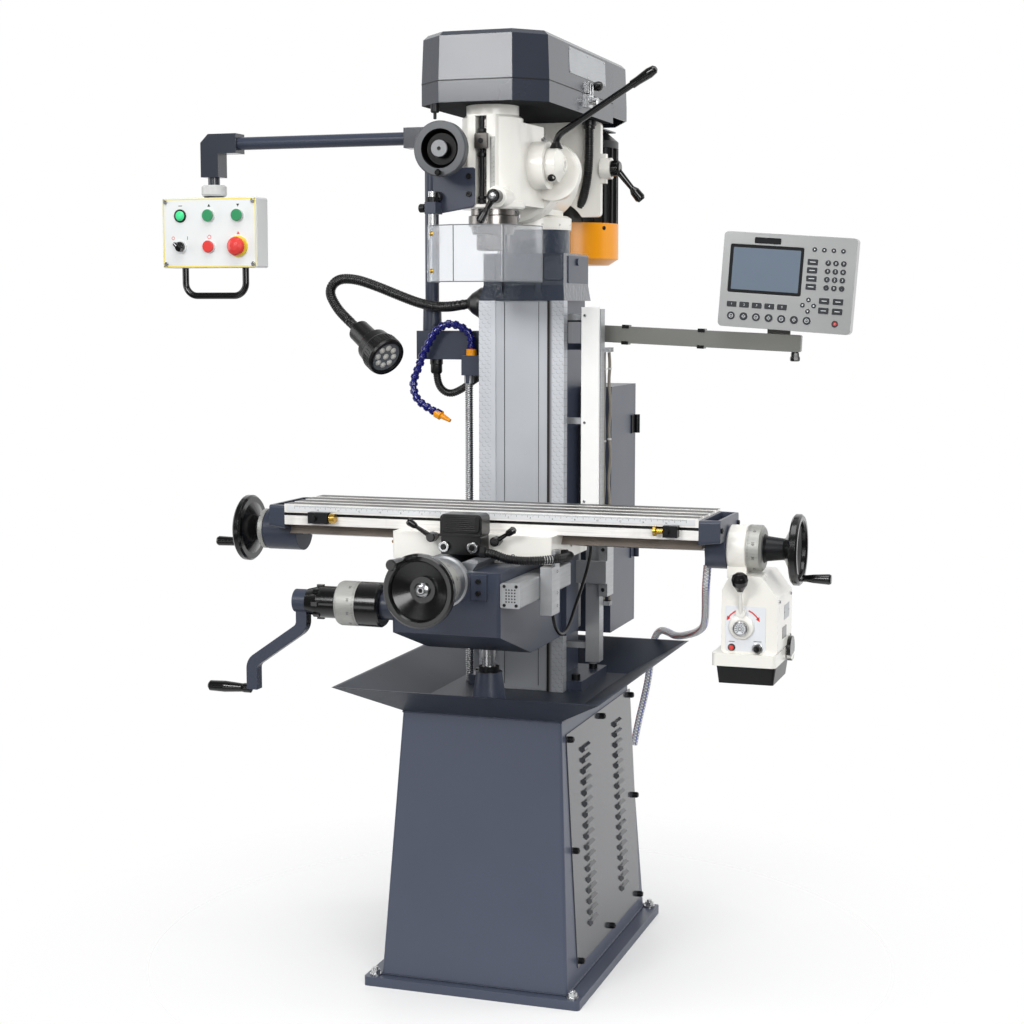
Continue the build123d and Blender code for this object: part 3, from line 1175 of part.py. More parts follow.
# Head casting: tilt flange, quill barrel, feed housings and the clamp boss
flange_front_y = flange_y - flange_thickness
neck_radius = 55
sleeve_radius = 30
pinion_housing_radius = 50
pinion_face_x = 100
worm_x = fine_wheel_x
worm_radius = 30
worm_front_y = fine_wheel_y + 44
pad_half_width = 32
pad_front_y = spindle_y - 74
lock_x = 36
lock_z = 1680
stop_slot = 24
stop_slot_bottom_z = barrel_bottom_z + 8
stop_slot_top_z = barrel_top_z - 5
with BuildPart() as head_casting:
    turned((0, spindle_y, barrel_bottom_z), (0, 0, 1), [
        (0, 0), (guard_floor_z - barrel_bottom_z, 0), (guard_floor_z - barrel_bottom_z, neck_radius),
        (barrel_top_z - barrel_bottom_z, neck_radius),
        (barrel_top_z - barrel_bottom_z - 6, barrel_radius),
        (16, barrel_radius), (14, barrel_radius + 4), (4, barrel_radius + 4), (0, barrel_radius)])
    with BuildSketch(Plane.XY.offset(barrel_bottom_z + 8)):
        with BuildLine():
            Polyline((-barrel_radius, spindle_y), (-72, flange_front_y), (72, flange_front_y),
                     (barrel_radius, spindle_y), close=True)
        make_face()
    extrude(amount=barrel_top_z - barrel_bottom_z - 22)
    turned((0, flange_y, head_axis_z), (0, -1, 0), [
        (0, 0), (flange_thickness, 0), (flange_thickness, flange_radius - 8),
        (flange_thickness - 6, flange_radius), (0, flange_radius)])
    rod((-78, lever_hub_y, lever_hub_z), (1, 0, 0), pinion_face_x + 78, pinion_housing_radius)
    turned((worm_x, -110, fine_wheel_z), (0, -1, 0), [
        (0, 0), (-worm_front_y - 110, 0), (-worm_front_y - 110, worm_radius - 4),
        (-worm_front_y - 116, worm_radius), (0, worm_radius)])
    rod((96, flange_front_y + 4, head_axis_z), (0, -1, 0), 18, 60)
    with BuildSketch(Plane.XY.offset(barrel_bottom_z + 2)):
        with Locations((0, (pad_front_y + spindle_y) / 2)):
            RectangleRounded(2 * pad_half_width, spindle_y - pad_front_y, 6)
    extrude(amount=barrel_top_z - barrel_bottom_z - 4)
    rod((lock_x, spindle_y + 10, lock_z), (0, -1, 0), 90, 22)
    rod((0, spindle_y, barrel_bottom_z), (0, 0, 1), barrel_top_z - barrel_bottom_z, quill_radius,
        Mode.SUBTRACT)
    rod((0, spindle_y, barrel_top_z), (0, 0, 1), guard_floor_z - barrel_top_z, sleeve_radius + run_gap,
        Mode.SUBTRACT)
    block((-stop_slot / 2, stop_slot / 2), (pad_front_y - 1, spindle_y - 30),
          (stop_slot_bottom_z, stop_slot_top_z), Mode.SUBTRACT)
    rod((worm_x, worm_front_y, fine_wheel_z), (0, 1, 0), 60, 8 + run_gap, Mode.SUBTRACT)
    rod((pinion_face_x, lever_hub_y, lever_hub_z), (-1, 0, 0), 60, 14 + run_gap, Mode.SUBTRACT)
    rod((lock_x, pad_front_y - 16, lock_z), (0, 1, 0), 40, 8 + run_gap, Mode.SUBTRACT)
head_casting.part.label = "head_casting"
export_step(head_casting.part, "parts/head_casting.step")

# Pieces bolted to the head: depth rod, chip guard bracket, motor plate with its foot, and motor conduit
plate_front_y = turret_y + 90
plate_thickness = 18
plate_bottom_z = 1657
motor_seat_y = motor_y - motor_radius - 2
rod_y = pad_front_y + 7
guard_rod_x = -96
guard_rod_y = -288
with BuildPart() as head_fittings:
    rod((0, rod_y, stop_slot_bottom_z), (0, 0, 1), stop_slot_top_z - stop_slot_bottom_z, 5)
    with BuildSketch(Plane.XZ.offset(-pad_front_y)):
        with BuildLine():
            Polyline((guard_rod_x - 6, barrel_bottom_z - 12), (-14, barrel_bottom_z + 2),
                     (-14, barrel_bottom_z + 60),
                     (-40, barrel_bottom_z + 78), (guard_rod_x - 6, barrel_bottom_z + 30), close=True)
        make_face()
        fillet(vertices(), 5)
    extrude(amount=4)
    block((guard_rod_x - 12, guard_rod_x + 12), (guard_rod_y - 12, pad_front_y - 4),
          (barrel_bottom_z - 12, barrel_bottom_z + 12))
    rod((guard_rod_x, guard_rod_y, barrel_bottom_z - 12), (0, 0, 1), 24, 8 + run_gap, Mode.SUBTRACT)
    with BuildSketch(Plane.XZ.offset(-plate_front_y)):
        with Locations((14, (plate_bottom_z + guard_floor_z) / 2)):
            RectangleRounded(228, guard_floor_z - plate_bottom_z, 10)
        with Locations((14, plate_bottom_z - 46)):
            Circle(84, mode=Mode.SUBTRACT)
    extrude(amount=-plate_thickness)
    block((-55, 55), (plate_front_y + plate_thickness, motor_seat_y), (1700, 1820))
    rod((128, plate_front_y + plate_thickness / 2, 1765), (1, 0, 0), 24, 24)
    block((118, 140), (plate_front_y, plate_front_y + plate_thickness), (1732, 1798))
    cord([(109, 164, guard_floor_z - body_gap), (109, 164, 1810), (107, 167, 1768), (100, 174, 1730),
          (90, 184, 1702), (80, 197, 1682)], 9)
head_fittings.part.label = "head_fittings"
export_step(head_fittings.part, "parts/head_fittings.step")

# Quill with its nose collar and the block that meets the depth stop
quill_bottom_z = spindle_nose_z + 33
quill_top_z = barrel_top_z - 5
stop_block_z = 1780
quill_fit = quill_radius - run_gap
with BuildPart() as quill:
    turned((0, spindle_y, quill_bottom_z), (0, 0, 1), [
        (0, 0), (quill_top_z - quill_bottom_z, 0), (quill_top_z - quill_bottom_z, quill_fit),
        (40, quill_fit),
        (38, quill_radius + 5), (18, quill_radius + 5), (16, quill_fit), (0, quill_fit - 4)])
    block((-stop_slot / 2 + 0.1, stop_slot / 2 - 0.1), (pad_front_y - 8, spindle_y - quill_radius + 4),
          (stop_block_z, stop_block_z + 26))
    rod((0, rod_y, stop_block_z), (0, 0, 1), 26, 5 + run_gap, Mode.SUBTRACT)
    rod((0, spindle_y, quill_bottom_z), (0, 0, 1), quill_top_z - quill_bottom_z,
        spindle_radius + run_gap, Mode.SUBTRACT)
quill.part.label = "quill"
export_step(quill.part, "parts/quill.step")

# Spindle with a tapered mouth, a straight collet bore and the drawbar nut on top
spindle_top_z = 1990
taper_depth = 24
collet_depth = 76
mouth_radius = spindle_bore_radius + taper_depth * tan(radians(8.4))
with BuildPart() as spindle:
    turned((0, spindle_y, spindle_nose_z), (0, 0, 1), [
        (0, 0), (spindle_top_z - spindle_nose_z, 0), (spindle_top_z - spindle_nose_z, spindle_radius),
        (33 - body_gap, spindle_radius), (33 - body_gap, spindle_nose_radius), (3, spindle_nose_radius),
        (0, spindle_nose_radius - 3)])
    turned((0, spindle_y, spindle_nose_z), (0, 0, 1), [
        (0, 0), (taper_depth + collet_depth, 0), (taper_depth + collet_depth, spindle_bore_radius),
        (taper_depth, spindle_bore_radius), (0, mouth_radius)], Mode.SUBTRACT)
    with BuildSketch(Plane.XY.offset(spindle_top_z)):
        with Locations((0, spindle_y)):
            RegularPolygon(11, 6)
    extrude(amount=12)
spindle.part.label = "spindle"
export_step(spindle.part, "parts/spindle.step")

# Quill feed lever: hub, stem that bends outward, and turned grip
lever_hub_x = pinion_face_x + body_gap
lever_bend = (lever_hub_x + 15, lever_hub_y, lever_hub_z + 60)
lever_end = (lever_hub_x + 196, lever_hub_y - 46, lever_hub_z + 158)
with BuildPart() as quill_lever:
    turned((lever_hub_x, lever_hub_y, lever_hub_z), (1, 0, 0), [
        (0, 0), (30, 0), (34, 0), (34, 18), (26, 30), (22, 36), (0, 36)])
    rod((lever_hub_x, lever_hub_y, lever_hub_z), (-1, 0, 0), 50, 14)
    cord([(lever_hub_x + 15, lever_hub_y, lever_hub_z + 20), lever_bend, lever_end], 7)
    turned(lever_end, (196 - 15, -46, 98), [
        (-4, 0), (58, 0), (58, 5), (54, 9), (40, 11), (10, 9), (-4, 9)])
quill_lever.part.label = "quill_lever"
export_step(quill_lever.part, "parts/quill_lever.step")

# Fine feed hand wheel on the worm shaft
with BuildPart() as fine_wheel:
    rod((fine_wheel_x, worm_front_y + 50, fine_wheel_z), (0, -1, 0), 58, 8)
    turned((fine_wheel_x, worm_front_y - body_gap, fine_wheel_z), (0, -1, 0), [
        (0, 0), (46, 0), (46, 12), (42, 16), (30, 17), (30, fine_wheel_diameter / 2 - 24),
        (42, fine_wheel_diameter / 2 - 18), (44, fine_wheel_diameter / 2 - 16),
        (44, fine_wheel_diameter / 2 - 2), (42, fine_wheel_diameter / 2), (24, fine_wheel_diameter / 2),
        (22, fine_wheel_diameter / 2 - 8), (16, 26), (0, 26)])
    turned((fine_wheel_x, worm_front_y - body_gap - 43, fine_wheel_z - fine_wheel_diameter / 2 + 7),
           (0, -1, 0), [
        (0, 0), (16, 0), (16, 5), (12, 7), (0, 5)])
fine_wheel.part.label = "fine_wheel"
export_step(fine_wheel.part, "parts/fine_wheel.step")

# Quill clamp lever
with BuildPart() as quill_lock:
    lock_face_y = spindle_y - 80 - body_gap
    turned((lock_x, lock_face_y, lock_z), (0, -1, 0), [
        (-20, 0), (26, 0), (26, 11), (22, 14), (0, 14), (0, 8), (-20, 8)])
    turned((lock_x, lock_face_y - 14, lock_z), (-30, -8, -52), [
        (0, 0), (62, 0), (62, 6), (58, 9), (40, 8), (30, 5), (0, 8)])
quill_lock.part.label = "quill_lock"
export_step(quill_lock.part, "parts/quill_lock.step")


def guard_outline(inset, front, rear):
    """Outline of the belt guard, drawn in by an inset, as points from its left front corner."""
    half = guard_width / 2 - inset
    nose = guard_width / 2 - guard_chamfer - inset * tan(radians(22.5))
    shoulder = front + guard_chamfer + inset * tan(radians(22.5))
    return [(-half, shoulder), (-nose, front + inset), (nose, front + inset), (half, shoulder),
            (half, rear), (-half, rear)]


# Lower half of the belt guard, with the latch, hinge knuckles and rear shelf over the motor
motor_shaft_radius = 12
shelf_half_width = 80
hinge_line_x = -guard_width / 2 - 5
lid_hinge_length = 60
lid_knuckle_radius = 4.5
with BuildPart() as guard_base:
    with BuildSketch(Plane.XY.offset(guard_floor_z)):
        with BuildLine():
            Polyline(*guard_outline(0, guard_front_y, guard_tray_end_y), close=True)
        make_face()
    extrude(amount=guard_seam_z - guard_floor_z)
    with BuildSketch(Plane.XY.offset(guard_floor_z + guard_sheet)):
        with BuildLine():
            Polyline(*guard_outline(guard_sheet, guard_front_y, guard_tray_end_y + 1), close=True)
        make_face()
    extrude(amount=guard_seam_z - guard_floor_z, mode=Mode.SUBTRACT)
    block((-shelf_half_width, shelf_half_width), (guard_tray_end_y, guard_rear_y - 14),
          (guard_floor_z, guard_floor_z + guard_sheet))
    rod((0, spindle_y, guard_floor_z), (0, 0, 1), guard_sheet, sleeve_radius + 2, Mode.SUBTRACT)
    rod((0, motor_y, guard_floor_z), (0, 0, 1), guard_sheet, 40, Mode.SUBTRACT)
    for lift_y in (-140, 130):
        rod((hinge_line_x, lift_y - lid_hinge_length / 2, guard_seam_z), (0, 1, 0),
            lid_hinge_length / 2 - body_gap, lid_knuckle_radius)
        block((hinge_line_x, -guard_width / 2), (lift_y - lid_hinge_length / 2, lift_y - body_gap),
              (guard_seam_z - 26, guard_seam_z - 1))
    block((guard_width / 2, guard_width / 2 + 7), (30, 62), (guard_seam_z - 30, guard_seam_z - 2))
    rod((guard_width / 2, 46, guard_seam_z - 16), (1, 0, 0), 22, 8)
guard_base.part.label = "guard_base"
export_step(guard_base.part, "parts/guard_base.step")

# Hinged lid of the belt guard, tapered upward, with a skirt behind the tray
lid_bottom_z = guard_seam_z + body_gap
lid_side_y = 370
lid_tail_half = 75


def lid_points(inset):
    """Outline of the lid, drawn in by an inset, with its tapered tail."""
    half = guard_width / 2 - inset
    head = guard_outline(inset, guard_front_y, lid_side_y)
    return head[:4] + [(half, lid_side_y), (lid_tail_half, guard_rear_y - inset),
                       (-lid_tail_half, guard_rear_y - inset), (-half, lid_side_y)]


with BuildPart() as guard_lid:
    with BuildSketch(Plane.XY.offset(lid_bottom_z)):
        with BuildLine():
            Polyline(*lid_points(0), close=True)
        make_face()
    with BuildSketch(Plane.XY.offset(guard_top_z)):
        with BuildLine():
            Polyline(*lid_points(lid_taper), close=True)
        make_face()
    loft(ruled=True)
    chamfer(guard_lid.faces().sort_by(Axis.Z)[-1].edges(), lid_bevel)
    with BuildSketch(Plane.XY.offset(lid_bottom_z)):
        with BuildLine():
            Polyline(*lid_points(0), close=True)
        make_face()
        with Locations((0, guard_tray_end_y + body_gap - 500)):
            Rectangle(guard_width + 10, 1000, mode=Mode.SUBTRACT)
    extrude(amount=-30)
    with BuildSketch(Plane.XY.offset(lid_bottom_z - 30)) as lid_inner:
        with BuildLine():
            Polyline(*lid_points(guard_sheet), close=True)
        make_face()
    with BuildSketch(Plane.XY.offset(guard_top_z - guard_sheet - lid_bevel)) as lid_eaves:
        with BuildLine():
            Polyline(*lid_points(lid_taper + guard_sheet), close=True)
        make_face()
    with BuildSketch(Plane.XY.offset(guard_top_z - guard_sheet)) as lid_roof:
        with BuildLine():
            Polyline(*lid_points(lid_taper + guard_sheet + lid_bevel), close=True)
        make_face()
    loft(sections=[lid_inner.sketch, lid_eaves.sketch], ruled=True, mode=Mode.SUBTRACT)
    loft(sections=[lid_eaves.sketch, lid_roof.sketch], ruled=True, mode=Mode.SUBTRACT)
    for lift_y in (-140, 130):
        rod((hinge_line_x, lift_y + body_gap, guard_seam_z), (0, 1, 0),
            lid_hinge_length / 2 - body_gap, lid_knuckle_radius)
        block((hinge_line_x, -guard_width / 2 + 0.5),
              (lift_y + body_gap, lift_y + lid_hinge_length / 2), (guard_seam_z + 1, guard_seam_z + 26))
    block((guard_width / 2 - 1, guard_width / 2 + 5), (34, 58), (guard_seam_z + 1, guard_seam_z + 26))
guard_lid.part.label = "guard_lid"
export_step(guard_lid.part, "parts/guard_lid.step")

# Spindle pulley and its drive sleeve, motor shaft with its pulley, and the V-belt
pulley_height = 24


def pulley_rim(radius):
    """Outline of a V-grooved rim about the belt line, measured up from the pulley's lower face."""
    middle = pulley_height / 2
    return [(pulley_height, radius), (middle + groove_width / 2, radius),
            (middle + 3.2, radius - groove_depth),
            (middle - 3.2, radius - groove_depth), (middle - groove_width / 2, radius), (0, radius)]


pulley_z = belt_z - pulley_height / 2
with BuildPart() as spindle_pulley:
    turned((0, spindle_y, pulley_z), (0, 0, 1), [
        (barrel_top_z + 2 - pulley_z, spindle_radius + run_gap),
        (pulley_height + 10, spindle_radius + run_gap),
        (pulley_height + 10, sleeve_radius), (pulley_height, sleeve_radius),
        *pulley_rim(spindle_pulley_radius),
        (0, sleeve_radius), (barrel_top_z + 2 - pulley_z, sleeve_radius)])
spindle_pulley.part.label = "spindle_pulley"
export_step(spindle_pulley.part, "parts/spindle_pulley.step")

motor_top_z = guard_floor_z - 5
with BuildPart() as motor_rotor:
    turned((0, motor_y, pulley_z), (0, 0, 1), [
        (motor_bottom_z + 40 - pulley_z, 0), (pulley_height + 6, 0),
        (pulley_height + 6, motor_shaft_radius + 8),
        (pulley_height, motor_shaft_radius + 8), *pulley_rim(motor_pulley_radius),
        (0, motor_shaft_radius), (motor_bottom_z + 40 - pulley_z, motor_shaft_radius)])
motor_rotor.part.label = "motor_rotor"
export_step(motor_rotor.part, "parts/motor_rotor.step")

belt_depth = 6
belt_crown = 1.8
with BuildPart() as drive_belt:
    for grow, mode in ((belt_crown, Mode.ADD), (-belt_depth, Mode.SUBTRACT)):
        with BuildSketch(Plane.XY.offset(belt_z - belt_thickness / 2)):
            with Locations((0, spindle_y)):
                Circle(spindle_pulley_radius + grow)
            with Locations((0, motor_y)):
                Circle(motor_pulley_radius + grow)
            make_hull()
        extrude(amount=belt_thickness, mode=mode)
drive_belt.part.label = "drive_belt"
export_step(drive_belt.part, "parts/drive_belt.step")

# Motor: finned body, foot and fan cover below
with BuildPart() as motor_body:
    turned((0, motor_y, fan_cover_bottom_z), (0, 0, 1), [
        (0, 0), (motor_top_z - fan_cover_bottom_z, 0),
        (motor_top_z - fan_cover_bottom_z, motor_radius - 20),
        (motor_top_z - fan_cover_bottom_z - 24, motor_radius + fin_height),
        (motor_top_z - fan_cover_bottom_z - 40, motor_radius + fin_height),
        (motor_top_z - fan_cover_bottom_z - 40, motor_radius),
        (motor_bottom_z - fan_cover_bottom_z, motor_radius),
        (motor_bottom_z - fan_cover_bottom_z, fan_cover_radius), (14, fan_cover_radius),
        (0, fan_cover_radius - 22)])
    with Locations((0, motor_y, (motor_bottom_z + motor_top_z - 40) / 2)):
        with PolarLocations(motor_radius + fin_height / 2 - 1, fin_count, start_angle=-58,
                            angular_range=296):
            Box(fin_height + 2, 4, motor_top_z - 40 - motor_bottom_z)
    block((-50, 50), (motor_seat_y + body_gap, motor_y - 60), (1700, 1820))
    rod((0, motor_y, motor_top_z), (0, 0, -1), motor_top_z - motor_bottom_z - 38,
        motor_shaft_radius + run_gap, Mode.SUBTRACT)
    rod((0, motor_y, motor_top_z), (0, 0, 1), 5 - body_gap, 60)
    rod((0, motor_y, motor_top_z), (0, 0, 1), 5, motor_shaft_radius + 20, Mode.SUBTRACT)
motor_body.part.label = "motor_body"
export_step(motor_body.part, "parts/motor_body.step")

# Belt tension lever on the motor plate
tension_x = 152 + body_gap
with BuildPart() as tension_lever:
    turned((tension_x, plate_front_y + plate_thickness / 2, 1765), (1, 0, 0), [
        (0, 0), (20, 0), (20, 14), (16, 18), (0, 18)])
    turned((tension_x + 10, plate_front_y + plate_thickness / 2, 1765), (52, 16, -66), [
        (0, 0), (92, 0), (92, 8), (86, 12), (66, 11), (56, 6), (0, 8)])
tension_lever.part.label = "tension_lever"
export_step(tension_lever.part, "parts/tension_lever.step")

# Clear chip guard that swings on a rod at the head's left front
chip_sheet = 4
chip_bottom_z = 1505
chip_top_z = 1622
chip_clamp = 30
with BuildPart() as chip_guard:
    rod((guard_rod_x, guard_rod_y, chip_top_z - chip_clamp), (0, 0, 1),
        barrel_bottom_z + 34 - chip_top_z + chip_clamp, 8)
    rod((guard_rod_x, guard_rod_y, barrel_bottom_z + 12 + body_gap), (0, 0, 1), 10, 13)
    with BuildSketch(Plane.XY.offset(chip_bottom_z)):
        with BuildLine():
            FilletPolyline((guard_rod_x - 14, spindle_y - 30), (guard_rod_x - 2, guard_rod_y - 10),
                           (guard_rod_x + 60, guard_rod_y - 34),
                           (guard_rod_x + 165, guard_rod_y - 26), (guard_rod_x + 206, spindle_y - 6),
                           radius=14)
        trace(line_width=chip_sheet)
    extrude(amount=chip_top_z - chip_bottom_z)
chip_guard.part.label = "chip_guard"
export_step(chip_guard.part, "parts/chip_guard.step")

# Readout arm on its pivot pin, and the readout case
arm_line = Plane(origin=(readout_pivot_x, readout_y, readout_arm_z),
                 x_dir=(cos(radians(readout_arm_droop)), 0, -sin(radians(readout_arm_droop))),
                 z_dir=(0, -1, 0))
case_plane = Plane(origin=(readout_x, readout_y - 34, readout_z),
                   x_dir=(cos(radians(readout_tilt)), 0, -sin(radians(readout_tilt))), z_dir=(0, -1, 0))
stalk_x = readout_x - 24
tilt_axis_y = readout_y + 24
tilt_axis_z = readout_z - 10
tilt_pin_radius = 8
key_height = 1
with BuildPart() as readout_arm:
    rod((readout_pivot_x, readout_y, readout_arm_z - 24 + body_gap), (0, 0, 1), 48 - 2 * body_gap, 15)
    with BuildSketch(arm_line.offset(-10)):
        with Locations((readout_arm_length / 2, 0)):
            RectangleRounded(readout_arm_length, readout_arm_height, 4)
    extrude(amount=20)
    block((stalk_x - 25, stalk_x + 25), (readout_y + 10, readout_y + 16),
          (readout_arm_z - 36, tilt_axis_z))
    rod((stalk_x - 36, tilt_axis_y, tilt_axis_z), (1, 0, 0), 72, tilt_pin_radius)
    block((stalk_x - 25, stalk_x + 25), (readout_y + 10, tilt_axis_y),
          (tilt_axis_z - 8, tilt_axis_z + 8))
    rod((readout_pivot_x + readout_arm_length - 14, readout_y, readout_arm_z - 60), (0, 0, 1), 30, 8)
    rod((readout_pivot_x, readout_y, readout_arm_z - 30), (0, 0, 1), 60, 6 + run_gap, Mode.SUBTRACT)
readout_arm.part.label = "readout_arm"
export_step(readout_arm.part, "parts/readout_arm.step")

with BuildPart() as readout_case:
    with BuildSketch(case_plane):
        RectangleRounded(readout_width, readout_height, 9)
    extrude(amount=-readout_depth)
    for lug_x in (stalk_x - 36, stalk_x + 26):
        block((lug_x, lug_x + 10), (readout_y - 4, tilt_axis_y), (tilt_axis_z - 12, tilt_axis_z + 12))
        rod((lug_x, tilt_axis_y, tilt_axis_z), (1, 0, 0), 10, 14)
        rod((lug_x, tilt_axis_y, tilt_axis_z), (1, 0, 0), 10, tilt_pin_radius + run_gap, Mode.SUBTRACT)
    with BuildSketch(case_plane):
        with Locations((-48, 24)):
            RectangleRounded(160, 104, 4)
    extrude(amount=-2, mode=Mode.SUBTRACT)
    with BuildSketch(case_plane):
        with Locations((84.4, 73.7)):
            with GridLocations(20.4, 1, 4, 1):
                Circle(5)
        with Locations((101.5, 20.75)):
            with GridLocations(16.5, 17.5, 3, 4):
                Circle(6)
        with Locations((52, 20.75)):
            with GridLocations(1, 17.5, 1, 4):
                RectangleRounded(22, 12.5, 2)
        with Locations((49.7, -45.5)):
            with PolarLocations(12.2, 4):
                Circle(5)
        with Locations((98, -44)):
            with GridLocations(29.6, 20.6, 2, 2):
                RectangleRounded(22, 13, 2)
        with Locations((-61, -53)):
            with GridLocations(27.5, 1, 5, 1):
                RectangleRounded(21, 12, 2)
        with Locations((-33, -78)):
            with GridLocations(27.5, 1, 7, 1):
                Circle(8.6)
        with Locations((110, -80.6)):
            Circle(7)
    extrude(amount=key_height)
readout_case.part.label = "readout_case"
export_step(readout_case.part, "parts/readout_case.step")

# Clear drain hose from the table, in three lengths that meet end to end
drain_radius = 8.5
drain_upper = [(459, -140, 918), (459, -140, 876), (462, -92, 836), (458, -40, 806), (446, 20, 776)]
drain_middle = [drain_upper[-1], (434, 80, 746), (410, 136, 726), (380, 196, 706), (346, 250, 692)]
drain_lower = [drain_middle[-1], (312, 304, 678), (276, 348, 680), (240, 390, 678), (212, 422, 660),
               (196, 430, 618),
               (190, 424, 560), (180, 416, 504), (168, 406, 446), (160, 400, 394)]
with BuildPart() as drain_hose_upper:
    cord(drain_upper, drain_radius)
drain_hose_upper.part.label = "drain_hose_upper"
export_step(drain_hose_upper.part, "parts/drain_hose_upper.step")

with BuildPart() as drain_hose_middle:
    cord(drain_middle, drain_radius)
drain_hose_middle.part.label = "drain_hose_middle"
export_step(drain_hose_middle.part, "parts/drain_hose_middle.step")

with BuildPart() as drain_hose_lower:
    cord(drain_lower, drain_radius)
drain_hose_lower.part.label = "drain_hose_lower"
export_step(drain_hose_lower.part, "parts/drain_hose_lower.step")
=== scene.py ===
"""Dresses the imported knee-type milling machine: paints, metals, plastics, dials, cables and studio."""
from math import cos, hypot, pi, radians, sin, tan

import bmesh
import bpy
from mathutils import Matrix, Vector


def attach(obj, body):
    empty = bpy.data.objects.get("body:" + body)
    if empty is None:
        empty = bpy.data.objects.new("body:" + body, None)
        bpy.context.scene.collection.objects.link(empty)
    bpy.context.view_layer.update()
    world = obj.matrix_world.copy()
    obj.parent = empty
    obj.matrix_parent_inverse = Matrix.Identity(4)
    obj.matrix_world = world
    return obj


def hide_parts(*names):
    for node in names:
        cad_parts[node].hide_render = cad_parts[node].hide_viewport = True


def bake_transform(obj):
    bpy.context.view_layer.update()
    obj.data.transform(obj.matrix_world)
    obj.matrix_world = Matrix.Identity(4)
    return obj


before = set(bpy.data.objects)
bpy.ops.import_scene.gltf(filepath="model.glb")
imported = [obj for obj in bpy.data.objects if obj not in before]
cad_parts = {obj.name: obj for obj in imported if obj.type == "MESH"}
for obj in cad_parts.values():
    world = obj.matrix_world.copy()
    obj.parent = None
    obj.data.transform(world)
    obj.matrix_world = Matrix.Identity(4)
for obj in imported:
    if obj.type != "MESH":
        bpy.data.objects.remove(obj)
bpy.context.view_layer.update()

# Studio: a pale seamless floor that fades to white, soft boxes in front, above and behind, and the
# camera where the photograph was taken. Each kind of ray sees walls of its own brightness, and the
# lamps behind the machine are kept out of reflections.
scene = bpy.context.scene
scene.view_settings.view_transform = "Standard"


def wire(tree, socket, value):
    """Link an output to a socket, or set the socket's value."""
    if isinstance(value, bpy.types.NodeSocket):
        tree.links.new(value, socket)
    else:
        socket.default_value = value


def add(tree, kind, **settings):
    """New node of a kind, with its settings and the values or links of its inputs."""
    node = tree.nodes.new("ShaderNode" + kind)
    for name, value in settings.items():
        if hasattr(node, name):
            setattr(node, name, value)
        else:
            wire(tree, node.inputs[name.replace("_", " ")], value)
    return node


def sums(tree, operation, first, second=0, clamp=False):
    """Output of a math node on two values or links."""
    node = add(tree, "Math", operation=operation, use_clamp=clamp)
    wire(tree, node.inputs[0], first)
    wire(tree, node.inputs[1], second)
    return node.outputs[0]


def vectors(tree, operation, first, second=(0, 0, 0)):
    """Outputs of a vector math node on two vectors or links."""
    node = add(tree, "VectorMath", operation=operation)
    wire(tree, node.inputs[0], first)
    wire(tree, node.inputs[1], second)
    return node.outputs


def ramp(tree, value, low, high, first, last):
    """Output of a map range node, clamped, from a range of the value to a range of results."""
    return add(tree, "MapRange", Value=value, From_Min=low, From_Max=high,
               To_Min=first, To_Max=last).outputs["Result"]


def mixed(tree, factor, first, second):
    """Output of a mix of two colours."""
    node = add(tree, "Mix", data_type="RGBA")
    for place, value in ((0, factor), (6, first), (7, second)):
        wire(tree, node.inputs[place], value)
    return node.outputs[2]


def mixed_shader(tree, factor, first, second):
    """Output of a mix of two shaders."""
    node = add(tree, "MixShader")
    for socket, value in zip(node.inputs, (factor, first, second)):
        wire(tree, socket, value)
    return node.outputs[0]


world = bpy.data.worlds.new("studio")
scene.world = world
world.use_nodes = True
sky = world.node_tree
sky.nodes.clear()
ray = add(sky, "LightPath").outputs
seen = sums(sky, "MAXIMUM", ray["Is Camera Ray"], ray["Is Transmission Ray"])
way = add(sky, "SeparateXYZ", Vector=add(sky, "TexCoord").outputs["Generated"]).outputs
walls, mirror, white = (
    add(sky, "Background", Color=colour, Strength=strength).outputs[0] for colour, strength in (
        ((0.97, 0.985, 1, 1), ramp(sky, way["Z"], -0.5, 0.8, 0.16, 0.34)),
        ((1, 1, 1, 1), ramp(sky, way["Y"], -0.1, 0.75, 0.10, 1.0)),
        ((1, 1, 1, 1), 1.0)))
shine = mixed_shader(sky, ray["Is Glossy Ray"], walls, mirror)
add(sky, "OutputWorld", Surface=mixed_shader(sky, seen, shine, white))

floor_mesh = bpy.data.meshes.new("floor")
floor_mesh.from_pydata([(-9, -9, 0), (9, -9, 0), (9, 9, 0), (-9, 9, 0)], [], [(0, 1, 2, 3)])
floor = bpy.data.objects.new("floor", floor_mesh)
scene.collection.objects.link(floor)
pale = bpy.data.materials.new("pale_floor")
pale.use_nodes = True
tree = pale.node_tree
tree.nodes.clear()
reach = vectors(tree, "LENGTH", add(tree, "TexCoord").outputs["Object"])["Value"]
ray = add(tree, "LightPath").outputs
shown = sums(tree, "MAXIMUM", sums(tree, "MAXIMUM", ray["Is Camera Ray"], ray["Is Glossy Ray"]),
             ray["Is Transmission Ray"])
bounce, seen_floor = (0.4, 0.4, 0.4, 1), (0.93, 0.93, 0.93, 1)
matt = add(tree, "BsdfPrincipled", Base_Color=mixed(tree, shown, bounce, seen_floor), Roughness=0.6)
near = sums(tree, "MULTIPLY", ray["Is Camera Ray"], ramp(tree, reach, 0.3, 1.2, 0.35, 1))
fade = sums(tree, "MAXIMUM", near, ramp(tree, reach, 0.6, 2.2, 0, 1))
clear = add(tree, "BsdfTransparent")
add(tree, "OutputMaterial", Surface=mixed_shader(tree, fade, matt.outputs[0], clear.outputs[0]))
floor_mesh.materials.append(pale)

